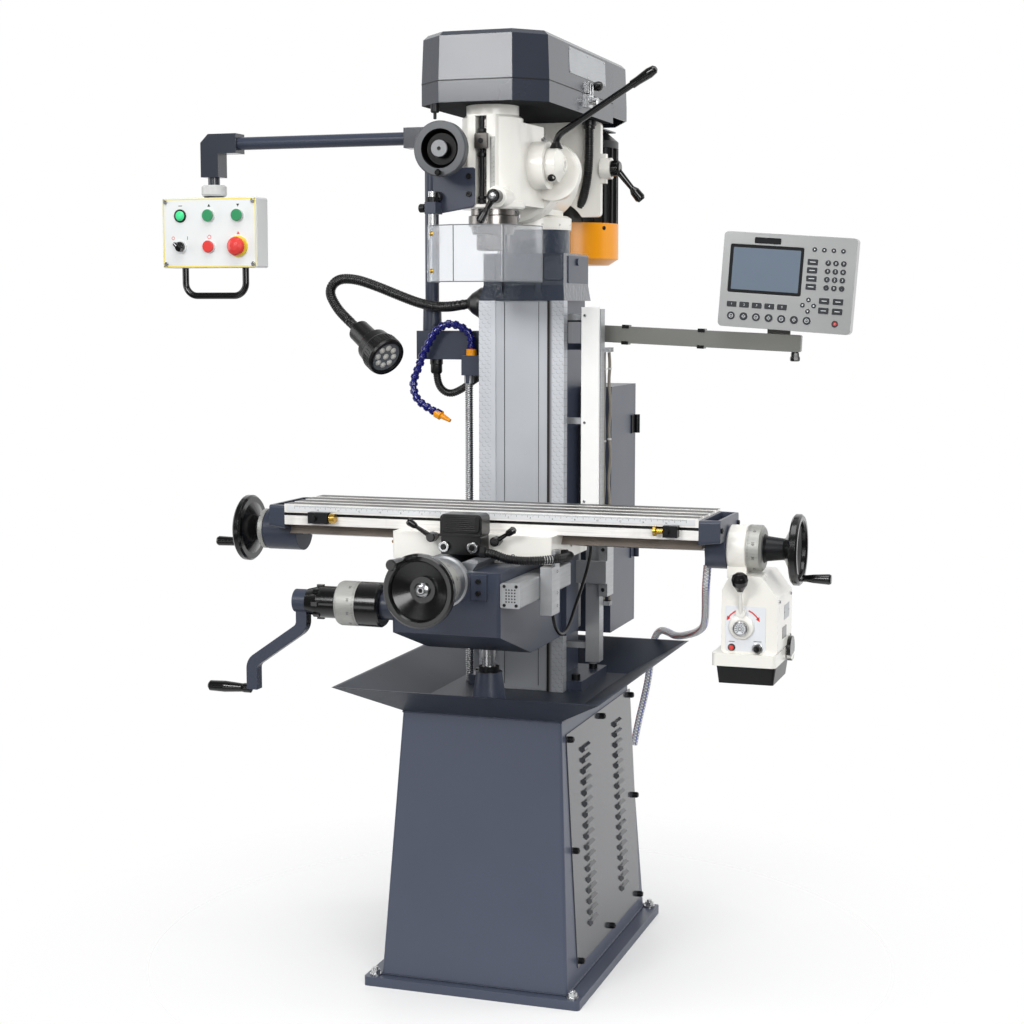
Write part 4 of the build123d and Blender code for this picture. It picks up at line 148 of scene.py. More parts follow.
for name, place, aim, size, power in (
        ("front_box", (-1.35, -4.5, 3.0), (0, 0, 1.3), (1.5, 1.3), 86),
        ("camera_box", (2.5, -3.9, 2.3), (0, 0, 1.2), (2.2, 2.2), 102),
        ("left_box", (-3.4, -0.8, 1.8), (0, 0, 1.0), (1.4, 2.4), 30),
        ("right_box", (3.3, 1.5, 1.6), (0, 0, 0.9), (1.6, 2.6), 62),
        ("top_box", (0.2, -1.1, 4.2), (0, 0, 1.0), (2.6, 2.0), 55),
        ("low_box", (-1.5, -4.2, 0.25), (0, 0, 0.5), (2.0, 0.9), 9),
        ("back_box", (-0.9, 3.6, 2.4), (0, 0, 1.2), (1.8, 2.0), 34)):
    lamp = bpy.data.lights.new(name, "AREA")
    lamp.shape = "RECTANGLE"
    lamp.size, lamp.size_y = size
    lamp.energy = power
    stand = bpy.data.objects.new(name, lamp)
    stand.location = place
    stand.visible_camera = False
    stand.visible_transmission = False
    stand.visible_glossy = place[1] < 0
    stand.rotation_euler = (Vector(aim) - Vector(place)).to_track_quat("-Z", "Y").to_euler()
    scene.collection.objects.link(stand)

lens = bpy.data.cameras.new("lens")
lens.sensor_width = 36
lens.lens = 66.23
camera = bpy.data.objects.new("camera", lens)
azimuth, dip = radians(18.6), radians(6.2)
back = Vector((sin(azimuth) * cos(dip), -cos(azimuth) * cos(dip), sin(dip)))
camera.location = (1.3146, -3.9623, 1.4534)
camera.rotation_euler = (-back).to_track_quat("-Z", "Y").to_euler()
scene.collection.objects.link(camera)
scene.camera = camera

# Base plate: thick steel plate in slate enamel, bolted to the floor at its corners.
# The enamel is sprayed, so it has a fine orange peel and is rubbed thin along its edges.


def group(name, inputs, outputs=("Colour", "Roughness", "Normal")):
    """Empty shader group with named sockets, and its two end nodes."""
    tree = bpy.data.node_groups.new(name, "ShaderNodeTree")
    kinds = {float: "Float", tuple: "Vector", list: "Color"}
    for label, value in inputs.items():
        kind = "NodeSocket" + kinds[type(value)]
        tree.interface.new_socket(label, in_out="INPUT", socket_type=kind).default_value = value
    for label in outputs:
        kind = "NodeSocket" + {"Colour": "Color", "Normal": "Vector"}.get(label, "Float")
        tree.interface.new_socket(label, in_out="OUTPUT", socket_type=kind)
    return tree, tree.nodes.new("NodeGroupInput").outputs, tree.nodes.new("NodeGroupOutput").inputs


def noise(tree, place, scale, detail, **settings):
    """Output of a cloud of noise at a place."""
    return add(tree, "TexNoise", Vector=place, Scale=scale, Detail=detail, **settings).outputs["Fac"]


def scaled(tree, vector, factor):
    """Output of a colour or vector times a factor."""
    node = add(tree, "VectorMath", operation="SCALE", Scale=factor)
    tree.links.new(vector, node.inputs[0])
    return node.outputs[0]


def bumped(tree, height, strength, distance, normal=None):
    """Normal that follows a height."""
    node = add(tree, "Bump", Distance=distance, Height=height, Strength=strength)
    if normal:
        tree.links.new(normal, node.inputs["Normal"])
    return node.outputs[0]


enamel, given, made = group("sprayed_enamel", {
    "Colour": [0.1, 0.1, 0.1, 1], "Worn colour": [0.3, 0.3, 0.3, 1], "Peel": 0.15, "Grain": 420.0,
    "Height": 0.0004, "Gloss": 0.25, "Wear": 0.5})
spot = add(enamel, "TexCoord").outputs["Object"]
broad = noise(enamel, spot, 7.0, 4.0)
peel = noise(enamel, spot, given["Grain"], 3.0)
scuff = noise(enamel, spot, 90.0, 5.0, Roughness=0.7)
edge = add(enamel, "Bevel", samples=4, Radius=0.0012).outputs[0]
turn = vectors(enamel, "DOT_PRODUCT", edge, add(enamel, "NewGeometry").outputs["Normal"])["Value"]
rubbed = sums(enamel, "MULTIPLY", ramp(enamel, turn, 0.985, 0.80, 0, 1),
              ramp(enamel, scuff, 0.45, 0.72, 0, 1))
worn = sums(enamel, "MULTIPLY", rubbed, given["Wear"], True)
shaded = scaled(enamel, given["Colour"], ramp(enamel, broad, 0.3, 0.7, 0.97, 1.03))
wire(enamel, made["Colour"], mixed(enamel, worn, shaded, given["Worn colour"]))
wire(enamel, made["Roughness"],
     sums(enamel, "ADD", given["Gloss"], ramp(enamel, broad, 0.2, 0.8, -0.02, 0.03)))
wire(enamel, made["Normal"], bumped(enamel, peel, given["Peel"], given["Height"], edge))


def finish(name, effect, values, **shader):
    """Principled material whose changing inputs come from an effect's outputs of the same name."""
    material = bpy.data.materials.new(name)
    material.use_nodes = True
    tree = material.node_tree
    tree.nodes.clear()
    skin = add(tree, "BsdfPrincipled", **shader)
    tree.links.new(skin.outputs[0], add(tree, "OutputMaterial").inputs[0])
    layer = tree.nodes.new("ShaderNodeGroup")
    layer.node_tree = effect
    for socket, value in values.items():
        layer.inputs[socket].default_value = value
    for socket, name in (("Colour", "Base Color"), ("Roughness", "Roughness"), ("Normal", "Normal")):
        if socket in layer.outputs:
            tree.links.new(layer.outputs[socket], skin.inputs[name])
    return material


def tone(code):
    """Linear colour of a paint chip written as six hexadecimal digits."""
    chip = [int(code[place:place + 2], 16) / 255 for place in (0, 2, 4)]
    return [v / 12.92 if v <= 0.04045 else ((v + 0.055) / 1.055) ** 2.4 for v in chip] + [1.0]


def painted(name, colour, worn, peel=0.06, gloss=0.28, wear=0.2, **shader):
    """Finish in sprayed or moulded colour."""
    return finish(name, enamel, {"Colour": tone(colour), "Worn colour": tone(worn), "Peel": peel,
                                 "Gloss": gloss, "Wear": wear}, **shader)


def dress(node, main, *zones):
    """Give a solid its finish. A zone is another finish, with a test of a face's centre or the
    corners of a box, in mm."""
    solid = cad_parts[node]
    solid.data.materials.clear()
    for material in [main] + [zone[0] for zone in zones]:
        solid.data.materials.append(material)
    for face in solid.data.polygons:
        face.material_index = 0
        middle = 1000 * face.center
        for number, zone in enumerate(zones, 1):
            inside = zone[1](*middle) if callable(zone[1]) else all(
                low <= c <= high for low, c, high in zip(zone[1], middle, zone[2]))
            if inside:
                face.material_index = number


# The base plate and stand take a lighter copy of the slate enamel: painted light that stands in for lamp
# light on the stand.
stand_slate_painted_light = painted("stand_slate_painted_light", "4a5061", "6f7580", 0.05, 0.32, 0.4, Specular_IOR_Level=0.4)
dress("base_plate", stand_slate_painted_light)

# Stand, chip tray and louvred panel: sheet steel, folded and welded, with rough weld beads below the
# tray and on the base plate. The panel is a glossier pressing, held by black screws.
slate = painted("slate_enamel", "393f4e", "6f7580", 0.05, 0.32, 0.4, Specular_IOR_Level=0.4)
gloss_slate = painted("panel_enamel", "404246", "85888d", 0.04, 0.16, 0.3,
                      Coat_Weight=0.25, Coat_Roughness=0.05)
# The stand cabinet takes the same lighter copy of the slate, painted light.
dress("stand_cabinet", stand_slate_painted_light)
dress("chip_tray", painted("tray_enamel", "343a46", "6f7580", 0.05, 0.44, 0.5, Specular_IOR_Level=0.3))
dress("stand_panel", gloss_slate)


def tube(mesh, points, radii, number=0, sides=12, stripes=None):
    """Round tube along points in mm, with a radius at each point, closed ends and a run of UVs."""
    uv = mesh.loops.layers.uv.verify()
    side = Vector((0.3, 0.9, 0.2))
    rings = []
    run = 0.0
    for place, point in enumerate(points):
        ahead = (points[min(place + 1, len(points) - 1)] - points[max(place - 1, 0)]).normalized()
        side = (side - ahead * side.dot(ahead)).normalized()
        up = ahead.cross(side)
        run += (point - points[max(place - 1, 0)]).length
        ring = [point + radii[place] * (cos(2 * pi * k / sides) * side + sin(2 * pi * k / sides) * up)
                for k in range(sides)]
        rings.append(([mesh.verts.new(corner) for corner in ring], 0.001 * run))
    for (low, start), (high, end) in zip(rings, rings[1:]):
        for k in range(sides):
            near, far = k, (k + 1) % sides
            face = mesh.faces.new((low[near], low[far], high[far], high[near]))
            face.smooth = True
            face.material_index = (stripes or {}).get(k, number)
            for loop, corner in zip(face.loops, ((start, k), (start, k + 1), (end, k + 1), (end, k))):
                loop[uv].uv = (corner[0], corner[1] / sides)
    for cap in (rings[0][0][::-1], rings[-1][0]):
        mesh.faces.new(cap).material_index = number


def settle(mesh, name, body, *materials):
    """Make a worked mesh, in mm, into a piece that rides a body."""
    bmesh.ops.recalc_face_normals(mesh, faces=mesh.faces)
    bmesh.ops.scale(mesh, vec=(0.001, 0.001, 0.001), verts=mesh.verts)
    data = bpy.data.meshes.new(name)
    mesh.to_mesh(data)
    mesh.free()
    data.set_sharp_from_angle(angle=radians(35))
    for material in materials:
        data.materials.append(material)
    piece = bpy.data.objects.new(name, data)
    scene.collection.objects.link(piece)
    if body:
        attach(piece, body)
    return piece


beads = bmesh.new()
bead_step = 5
for half_x, half_y, z in ((177, 263, 589.5), (208.5, 316.5, 22)):
    corners = [Vector((x * half_x, y * half_y, z)) for x, y in ((-1, -1), (1, -1), (1, 1), (-1, 1))]
    for start, end in zip(corners, corners[1:] + corners[:1]):
        count = int((end - start).length / bead_step)
        line = [start.lerp(end, n / count) for n in range(count + 1)]
        radii = [2.6 + 0.5 * sin(2.1 * n) + 0.35 * sin(5.3 * n + 1) for n in range(count + 1)]
        tube(beads, line, radii, 0, 7)
settle(beads, "stand_welds", "base", slate)

# Fasteners: bright floor bolts and blacked column bolts and panel screws. Each has its stud end
# or hexagon socket, turned and broached in place.
worked, given, made = group("worked_metal", {
    "Colour": [0.6, 0.6, 0.6, 1], "Gloss": 0.3, "Lines": (40.0, 40.0, 40.0), "Depth": 0.1, "Grime": 0.0})
spot = add(worked, "TexCoord").outputs["Object"]
stretched = vectors(worked, "MULTIPLY", spot, given["Lines"])[0]
lines = noise(worked, stretched, 1.0, 3.0, Roughness=0.6)
cloud = noise(worked, spot, 16.0, 5.0)
edge = add(worked, "Bevel", samples=4, Radius=0.0008).outputs[0]
shaded = scaled(worked, given["Colour"], ramp(worked, lines, 0.3, 0.7, 0.88, 1.06))
stain = sums(worked, "MULTIPLY", ramp(worked, cloud, 0.5, 0.75, 0, 1), given["Grime"], True)
wire(worked, made["Colour"], mixed(worked, stain, shaded, tone("4d4b48")))
wire(worked, made["Roughness"],
     sums(worked, "ADD", given["Gloss"], ramp(worked, cloud, 0.2, 0.8, -0.05, 0.08)))
wire(worked, made["Normal"], bumped(worked, lines, given["Depth"], 0.0002, edge))


def metal(name, colour, gloss, lines, depth=0.1, metallic=1.0, grime=0.0):
    """Finish in bare or plated metal, with the lines that its working leaves along each axis."""
    return finish(name, worked, {"Colour": tone(colour), "Gloss": gloss, "Lines": lines, "Depth": depth,
                                 "Grime": grime}, Metallic=metallic)


black_oxide = metal("black_oxide", "1c1d1f", 0.36, (300, 300, 300), 0.1, 0.5)
zinc = metal("bright_zinc", "c9cacb", 0.26, (400, 400, 400), 0.1, 1.0, 0.2)
# Near-black finish: painted shade in screw sockets, drawn holes and the table's groove, and the dark seams of
# the way cover and the guard.
joint_and_recess_shade = painted("dark_joints_and_recess_shade", "0c0c0d", "1a1a1b", 0.05, 0.5)
dress("stand_fasteners", black_oxide, (zinc, (-300, -400, 0), (300, 400, 60)))
fore, right, left, above, below = (0, -1, 0), (1, 0, 0), (-1, 0, 0), (0, 0, 1), (0, 0, -1)


def facing(x, y, z, out=fore, up=None):
    """Placement of a detail in mm: its Z looks out of the surface and its Y is up, or to the rear."""
    out = Vector(out).normalized()
    if up is None:
        up = above if abs(out.z) < 0.9 else (0, 1, 0)
    side = Vector(up).cross(out).normalized()
    top = out.cross(side)
    return Matrix(((side.x, top.x, out.x, x), (side.y, top.y, out.y, y), (side.z, top.z, out.z, z),
                   (0, 0, 0, 1)))


def lathe(mesh, seat, outline, number=0, sides=28):
    """Turned form on a seat, from points of height and radius in mm."""
    rings = []
    for height, radius in outline:
        turns = [2 * pi * k / sides for k in range(sides if radius else 1)]
        rings.append([mesh.verts.new(seat @ Vector((radius * cos(turn), radius * sin(turn), height)))
                      for turn in turns])
    for low, high in zip(rings, rings[1:]):
        for k in range(sides):
            corners = (low[k % len(low)], low[(k + 1) % len(low)],
                       high[(k + 1) % len(high)], high[k % len(high)])
            if len(set(corners)) > 2:
                face = mesh.faces.new(list(dict.fromkeys(corners)))
                face.material_index = number
                face.smooth = sides > 8


def socket_screw(mesh, seat, radius, height, number=0, hole=1):
    """Cap screw with a hexagon socket, whose hole takes a near-black finish as painted shade."""
    drive = 0.5 * radius
    lathe(mesh, seat, [(0, radius), (height - 0.7, radius), (height, radius - 0.7), (height, 0.9 * drive)],
          number, 20)
    lathe(mesh, seat, [(height, drive), (0.4 * height, drive), (0.4 * height, 0)], hole, 6)


studs = bmesh.new()
for x in (-222, 222):
    for y in (-320, 320):
        stud = [(0, 9.6), (1.2, 8.6), (1.2, 6), (5, 6), (6, 5), (6, 0)]
        lathe(studs, facing(x, y, 31, above), stud, 0, 18)
for x in (-115, 115):
    for y in (55, 195):
        lathe(studs, facing(x, y, 630, above), [(0, 10), (0, 5.2), (-5, 5.2), (-5, 0)], 1, 6)
settle(studs, "bolt_ends", "base", zinc, black_oxide)
screws = bmesh.new()
lean, rise = Vector((572, 0, 31)).normalized(), Vector((-31, 0, 572)).normalized()
panel_middle = Vector((193.5, 20, 306)) + 11 * lean
for across in (-244, 0, 244):
    for along in (-240, 0, 240):
        if across or along:
            spot = panel_middle + Vector((0, across, 0)) + along * rise
            socket_screw(screws, facing(*spot, lean, rise), 6, 3)
settle(screws, "panel_screws", "base", black_oxide, joint_and_recess_shade)

# Column: iron casting in enamel, with two scraped ways and a folded aluminium cover between them.
# The outer halves of the ways are flaked by hand, so they look frosted beside the plain iron. The
# neck above them is rough from the mould, with cast ribs and pads.
scraped, given, made = group("scraped_iron", {"Colour": [0.6, 0.6, 0.6, 1], "Gloss": 0.3})
spot = add(scraped, "TexCoord").outputs["Object"]
fine = noise(scraped, spot, 900.0, 2.0)
streak = noise(scraped, spot, 24.0, 4.0)
place = add(scraped, "SeparateXYZ", Vector=spot).outputs
flaked = ramp(scraped, sums(scraped, "ABSOLUTE", place["X"]), 0.0705, 0.0715, 0, 1)
wander = sums(scraped, "MULTIPLY", streak, 0.006)
row = sums(scraped, "MULTIPLY", sums(scraped, "ADD", place["Z"], wander), 110)
shift = sums(scraped, "MULTIPLY", sums(scraped, "MODULO", sums(scraped, "FLOOR", row), 2), 0.5)
column_run = sums(scraped, "ADD", sums(scraped, "MULTIPLY", place["X"], 75), shift)
cell_x, cell_z = sums(scraped, "FRACT", column_run), sums(scraped, "FRACT", row)


def disc(x, z):
    """Distance from a point of each cell."""
    side = sums(scraped, "POWER", sums(scraped, "SUBTRACT", cell_x, x), 2)
    rise = sums(scraped, "POWER", sums(scraped, "SUBTRACT", cell_z, z), 2)
    return sums(scraped, "SQRT", sums(scraped, "ADD", side, rise))


inner = ramp(scraped, disc(0.58, 0.60), 0.36, 0.42, 0, 1)
outer = ramp(scraped, disc(0.5, 0.5), 0.40, 0.44, 1, 0)
crescent = sums(scraped, "MULTIPLY", sums(scraped, "MULTIPLY", inner, outer), flaked)
# A dark brown band beside the cover on the right-hand way is painted shade of the gap between them.
gap_shade = sums(scraped, "MULTIPLY", ramp(scraped, place["X"], 0.0603, 0.0606, 0, 1),
              ramp(scraped, place["X"], 0.065, 0.0735, 1, 0))
level = sums(scraped, "ADD", sums(scraped, "MULTIPLY", crescent, -0.24),
             ramp(scraped, streak, 0.3, 0.7, 0.96, 1.03))
shaded = scaled(scraped, given["Colour"], level)
wire(scraped, made["Colour"], mixed(scraped, gap_shade, shaded, tone("2c2927")))
wire(scraped, made["Roughness"],
     sums(scraped, "ADD", given["Gloss"], ramp(scraped, fine, 0.2, 0.8, -0.08, 0.12)))
wire(scraped, made["Normal"], bumped(scraped, crescent, 0.3, -0.0003))
scraped_way = finish("scraped_way", scraped, {"Colour": tone("cbced3"), "Gloss": 0.40}, Metallic=0.6)
brushed = painted("brushed_cover", "bbbec3", "d0d2d5", 0.02, 0.4, 0.1, Metallic=0.55)
cast_slate = finish("rough_cast_slate", enamel, {
    "Colour": tone("363d4a"), "Worn colour": tone("7a808b"), "Peel": 0.5, "Grain": 90, "Height": 0.004,
    "Gloss": 0.22, "Wear": 0.4}, Coat_Weight=0.45, Coat_Roughness=0.08)
way_top = 1468
dress("column", slate, (scraped_way, (-100, 6.5, 598), (100, 33.5, way_top)),
      (cast_slate, lambda x, y, z: z > way_top - 0.5))
dress("way_cover", brushed)


def rounded(width, height, radius, steps=5):
    """Outline of a rectangle with round corners, about its middle."""
    points = []
    for turn, (x, y) in enumerate(((1, 1), (-1, 1), (-1, -1), (1, -1))):
        for step in range(steps + 1):
            angle = pi / 2 * (turn + step / steps)
            points.append((x * (width / 2 - radius) + radius * cos(angle),
                           y * (height / 2 - radius) + radius * sin(angle)))
    return points


def plate(mesh, seat, outline, low, high, number=0, edge=0):
    """Flat piece on a seat between two heights, with its outline in mm and a softened upper edge."""
    reach = max(max(abs(x), abs(y)) for x, y in outline)
    levels = [(low, 1), (high - edge, 1), (high, 1 - edge / reach)] if edge else [(low, 1), (high, 1)]
    rings = [[mesh.verts.new(seat @ Vector((x * draw, y * draw, height))) for x, y in outline]
             for height, draw in levels]
    count = len(outline)
    faces = [(lower[k], lower[(k + 1) % count], upper[(k + 1) % count], upper[k])
             for lower, upper in zip(rings, rings[1:]) for k in range(count)]
    for corners in faces + [rings[0][::-1], rings[-1]]:
        mesh.faces.new(corners).material_index = number


def patch(mesh, seat, outline, number=0, lift=0.12):
    """Flat mark on a seat, from its outline in mm."""
    corners = [mesh.verts.new(seat @ Vector((x, y, lift))) for x, y in outline]
    mesh.faces.new(corners).material_index = number


def bar(mesh, seat, x, y, width, height, number=0, lift=0.12):
    """Flat engraved bar on a seat, centred at x and y in mm."""
    patch(mesh, seat, [(x + sx * width / 2, y + sy * height / 2)
                       for sx, sy in ((-1, -1), (1, -1), (1, 1), (-1, 1))], number, lift)


pads = bmesh.new()
rib = [(-5, 51), (-6, -30), (-11, -48), (-14, -52), (14, -52), (11, -48), (6, -30), (5, 51)]
for x in (-52, 38):
    plate(pads, facing(x, 20, 1521), rib, -3, 10, 0, 2)
for x, width in ((-78, 28), (70, 44)):
    plate(pads, facing(x, 22, 1540), rounded(width, 56, 6), -1, 4, 0, 1.5)
settle(pads, "neck_pads", "base", cast_slate)
seams = bmesh.new()
for x in (-40, 40):
    bar(seams, facing(x, 10, 1037), 0, 0, 1.4, 858, 0, 0.06)
plate(seams, facing(72.5, 176, 1330, right), rounded(150, 300, 4), -1, 2.5, 1, 1)
settle(seams, "column_covers", "base", joint_and_recess_shade, slate)

# Electrical cabinet: folded sheet in enamel, bolted to the column's back, with a door on black hinges
# and a zinc lock. The gear on its inner rail is moulded plastic.
moulded = painted("pale_plastic", "c9cac8", "dededc", 0.08, 0.4)
dress("electric_box", slate, (moulded, (-120, 222, 760), (120, 300, 1220)),
      (black_oxide, (150.2, 380, 900), (160, 420, 1260)))
dress("electric_door", slate, (black_oxide, (150.2, 380, 900), (180, 440, 1260)),
      (zinc, (-150, 430.5, 960), (-110, 440, 1010)))

# Elevating screw and its pedestal: turned steel screw that hangs in the knee and runs in a nut. The
# nut sits under a black collar in a cast and enamelled cone, bolted to the column's foot.
turned_steel = metal("turned_steel", "c8c9cb", 0.26, (120, 120, 1800), 0.15)
dress("lift_screw", turned_steel)
dress("lift_nut", slate, (black_oxide, (-24, -240, 678), (24, -180, 700)))

# Knee: iron casting in enamel on the ways, with bolted keepers, a gib plate, a black crank bearing,
# a ground cross bearing and the aluminium bar of the cross scale.
cast_steel = metal("cast_steel", "a9abae", 0.4, (600, 600, 600), 0.2, 0.9)
anodised = metal("anodised_bar", "b9bbbd", 0.42, (700, 6, 700), 0.1, 0.8)
black_gloss = painted("black_plastic", "0b0b0c", "242426", 0.04, 0.2, 0.1,
                      Coat_Weight=0.3, Coat_Roughness=0.08)
cast_iron = painted("ground_knee_top", "8f9296", "b9bbbd", 0.2, 0.34, 0.5, Metallic=0.7)
dress("knee", slate, (cast_iron, lambda x, y, z: z > 929.9 and abs(x) < 70))
dress("knee_fittings", cast_steel, (black_gloss, (-195, -495, 800), (-140, -395, 900)),
      (anodised, (115, -475, 858), (160, -120, 915)), (anodised, (120, 10, 810), (200, 80, 940)),
      (slate, (55, -480, 870), (90, -474, 930)))
cross_z = 910
trim = bmesh.new()
for x, y, z, radius, height in (
        (72, -479, 889, 5.5, 4), (72, -479, 913, 5.5, 4), (124, -473, 867, 3.2, 2), (124, -473, 905, 3.2, 2),
        (149, -473, 867, 3.2, 2), (149, -473, 905, 3.2, 2), (186, 24, 830, 4, 3), (186, 24, 920, 4, 3)):
    socket_screw(trim, facing(x, y, z), radius, height)
for angle in (45, 135, 225, 315):
    turn = radians(angle)
    socket_screw(trim, facing(50 * cos(turn), -479, cross_z + 50 * sin(turn)), 1.6, 6.4)
# The grid of near-black discs stands for holes: painted shade.
for row in range(5):
    for column in range(4):
        lathe(trim, facing(128 + 6 * column, -473, 874 + 6 * row), [(0.15, 1.7), (0.15, 0)], 1, 10)
settle(trim, "knee_screws", "knee", black_oxide, joint_and_recess_shade)

# Lifting crank: cast arm in enamel with a turned black grip, behind a black jaw clutch and an engraved
# silver dial. The dial's lines are cut and filled with black.
silver_dial = metal("silver_dial", "b2b2ae", 0.46, (60, 900, 900), 0.08, 0.6)
dress("lift_crank", slate, (silver_dial, (-246, -495, 800), (-190, -395, 900)),
      (black_gloss, (-315, -495, 800), (-246, -395, 900)),
      (black_gloss, (-560, -470, 630), (-444, -420, 690)))
ink = painted("engraved_ink", "17181a", "2a2a2c", 0.05, 0.5)


def around(centre, axis, radius, angle):
    """Seat on the side of a round dial: Z looks out of it and Y runs along the axis."""
    axis = Vector(axis).normalized()
    start = Vector(above if abs(axis.z) < 0.9 else fore)
    out = Matrix.Rotation(radians(angle), 3, axis) @ start
    return facing(*(Vector(centre) + radius * out), out, axis)


def moved(seat, x, y, z=0):
    """Seat shifted in its own directions, in mm."""
    return seat @ Matrix.Translation((x, y, z))


def drawn(curve):
    """Points and faces of the mesh that a curve makes."""
    holder = bpy.data.objects.new(curve.name, curve)
    scene.collection.objects.link(holder)
    bpy.context.view_layer.update()
    mesh = bpy.data.meshes.new_from_object(holder.evaluated_get(bpy.context.evaluated_depsgraph_get()))
    points = [vertex.co.copy() for vertex in mesh.vertices]
    faces = [list(face.vertices) for face in mesh.polygons]
    bpy.data.objects.remove(holder)
    bpy.data.meshes.remove(mesh)
    return points, faces


def figures(mesh, seat, words, size, number=0, lift=0.12):
    """Flat figures on a seat, centred, with their height in mm."""
    curve = bpy.data.curves.new("figures", "FONT")
    curve.body = words
    curve.size = size
    curve.align_x = "CENTER"
    curve.align_y = "CENTER"
    curve.resolution_u = 2
    points, faces = drawn(curve)
    corners = [mesh.verts.new(seat @ Vector((point.x, point.y, lift))) for point in points]
    for face in faces:
        mesh.faces.new([corners[index] for index in face]).material_index = number


def engrave(name, body, centre, axis, radius, count, size):
    """Lines and numbers round a dial, with every tenth line long. They run inward from its edge."""
    mesh = bmesh.new()
    for step in range(count):
        long = step % 10 == 0
        seat = around(centre, axis, radius, 360 * step / count)
        reach = 0.9 * size if long else 0.5 * size
        bar(mesh, seat, 0, reach / 2, 0.055 * size, reach)
        if long:
            figures(mesh, moved(seat, 0, 1.6 * size), str(step), size)
    settle(mesh, name, body, ink)


engrave("crank_dial_lines", "crank", (-195, -445, 850), left, 46, 100, 7.5)

# Saddle: casting in cream enamel on the knee's ways, with a black limit switch box, a bronze oil
# nipple and bronze nuts. A ribbed conduit leads from the box round the right end.
cream = painted("cream_enamel", "efede6", "cfccc3", 0.10, 0.28, 0.25, Coat_Weight=0.4, Coat_Roughness=0.1)
black_rubber = painted("black_rubber", "0b0b0d", "26272a", 0.03, 0.32, 0.1)
bronze = metal("bronze", "b0803c", 0.3, (500, 500, 500), 0.1, 1.0, 0.3)
dress("saddle", cream)
dress("saddle_fittings", black_rubber, (bronze, (-31, -216, 885), (31, -149, 985)),
      (anodised, (156, -350, 826), (185, -290, 962)))
dress("lock_left", black_gloss)
dress("lock_right", black_gloss)


def spline_points(route, resolution):
    """Points in mm read from the smooth spline whose control points are a route."""
    curve = bpy.data.curves.new("route", "CURVE")
    curve.dimensions = "3D"
    spline = curve.splines.new("NURBS")
    spline.points.add(len(route) - 1)
    for point, place in zip(spline.points, route):
        point.co = list(place) + [1]
    spline.order_u = 3
    spline.use_endpoint_u = True
    curve.resolution_u = resolution
    return drawn(curve)[0]


def corrugated(mesh, points, radius, rib, pitch, sides):
    """Tube along points in mm, with ribs of a height and pitch."""
    run = 0.0
    radii = []
    for before, point in zip([points[0]] + points, points):
        run += (point - before).length
        radii.append(radius + rib * cos(2 * pi * run / pitch))
    tube(mesh, points, radii, 0, sides)


saddle_conduit = [(39, -366, 957), (62, -366, 955), (88, -366, 945), (122, -360, 941), (156, -350, 942),
                  (186, -332, 944), (200, -300, 944), (198, -268, 943), (190, -252, 942), (175.3, -252, 942)]
skin = bmesh.new()
corrugated(skin, spline_points(saddle_conduit, 30), 8.6, 0.9, 5, 14)
for x, y, z in ((38, -366, 957), (176, -252, 942)):
    lathe(skin, facing(x, y, z, right), [(0, 13), (10, 13), (12, 11), (12, 8)], 0, 6)
settle(skin, "saddle_conduit_ribs", "saddle", black_rubber)
trim = bmesh.new()
for x in (-39, 23):
    lathe(trim, facing(x, -378, 966), [(-0.2, 11.4), (2.2, 11.4), (3, 10.4), (3, 6.2), (1, 6.2)])
    lathe(trim, facing(x, -378, 966), [(1, 6.2), (4.2, 5.2), (4.2, 0)], 1)
plate(trim, facing(-4, -372, 1014), rounded(84, 38, 9), 0, 3.2, 1, 2)
for z in range(1000, 1029, 4):
    plate(trim, facing(-4, -375, z), rounded(66, 1.6, 0.7, 2), 0, 0.9, 1)
plate(trim, facing(-8, -372, 989.5), rounded(93, 5, 1.5, 2), 0, 1.4, 1)
nipple = [(0, 6), (4, 6), (5, 4), (9, 3.4), (10, 2), (10, 0)]
lathe(trim, facing(-175, -300, 962, left), nipple, 2, 6)
for z in (845, 872, 916):
    socket_screw(trim, facing(183.8, -310, z, right), 3, 2)
for x in (-60, 92):
    lathe(trim, facing(x, -323, 944), [(0, 5), (0.4, 5), (0.4, 3.4), (-1.5, 3.4), (-1.5, 0)], 1, 14)
settle(trim, "saddle_screws", "saddle", zinc, black_rubber, bronze)

# Cross feed: engraved silver dial and dished black wheel, keyed on the end of a turned steel screw.
# A bright nut with a hexagon socket holds the wheel.
dress("cross_wheel", black_gloss, (silver_dial, (-49, -562, 860), (49, -515, 960)),
      (turned_steel, (-24, -590, 880), (24, -560, 940)), (turned_steel, (-12, -515, 890), (12, -50, 930)),
      (turned_steel, lambda x, y, z: hypot(x, z - cross_z) < 15.2 and y < -598))
engrave("cross_dial_lines", "cross_wheel", (0, -517, cross_z), fore, 48, 100, 8)
# The nut's hexagon socket is near black, painted shade.
nut = bmesh.new()
seat = facing(0, -609.3, cross_z)
lathe(nut, seat, [(-0.5, 10.6), (1, 10.6), (1.6, 9.6), (1.6, 4.6)], 0, 24)
lathe(nut, seat, [(1.6, 4.6), (0.3, 4.2), (0.3, 0)], 1, 6)
settle(nut, "cross_wheel_nut", "cross_wheel", zinc, joint_and_recess_shade)

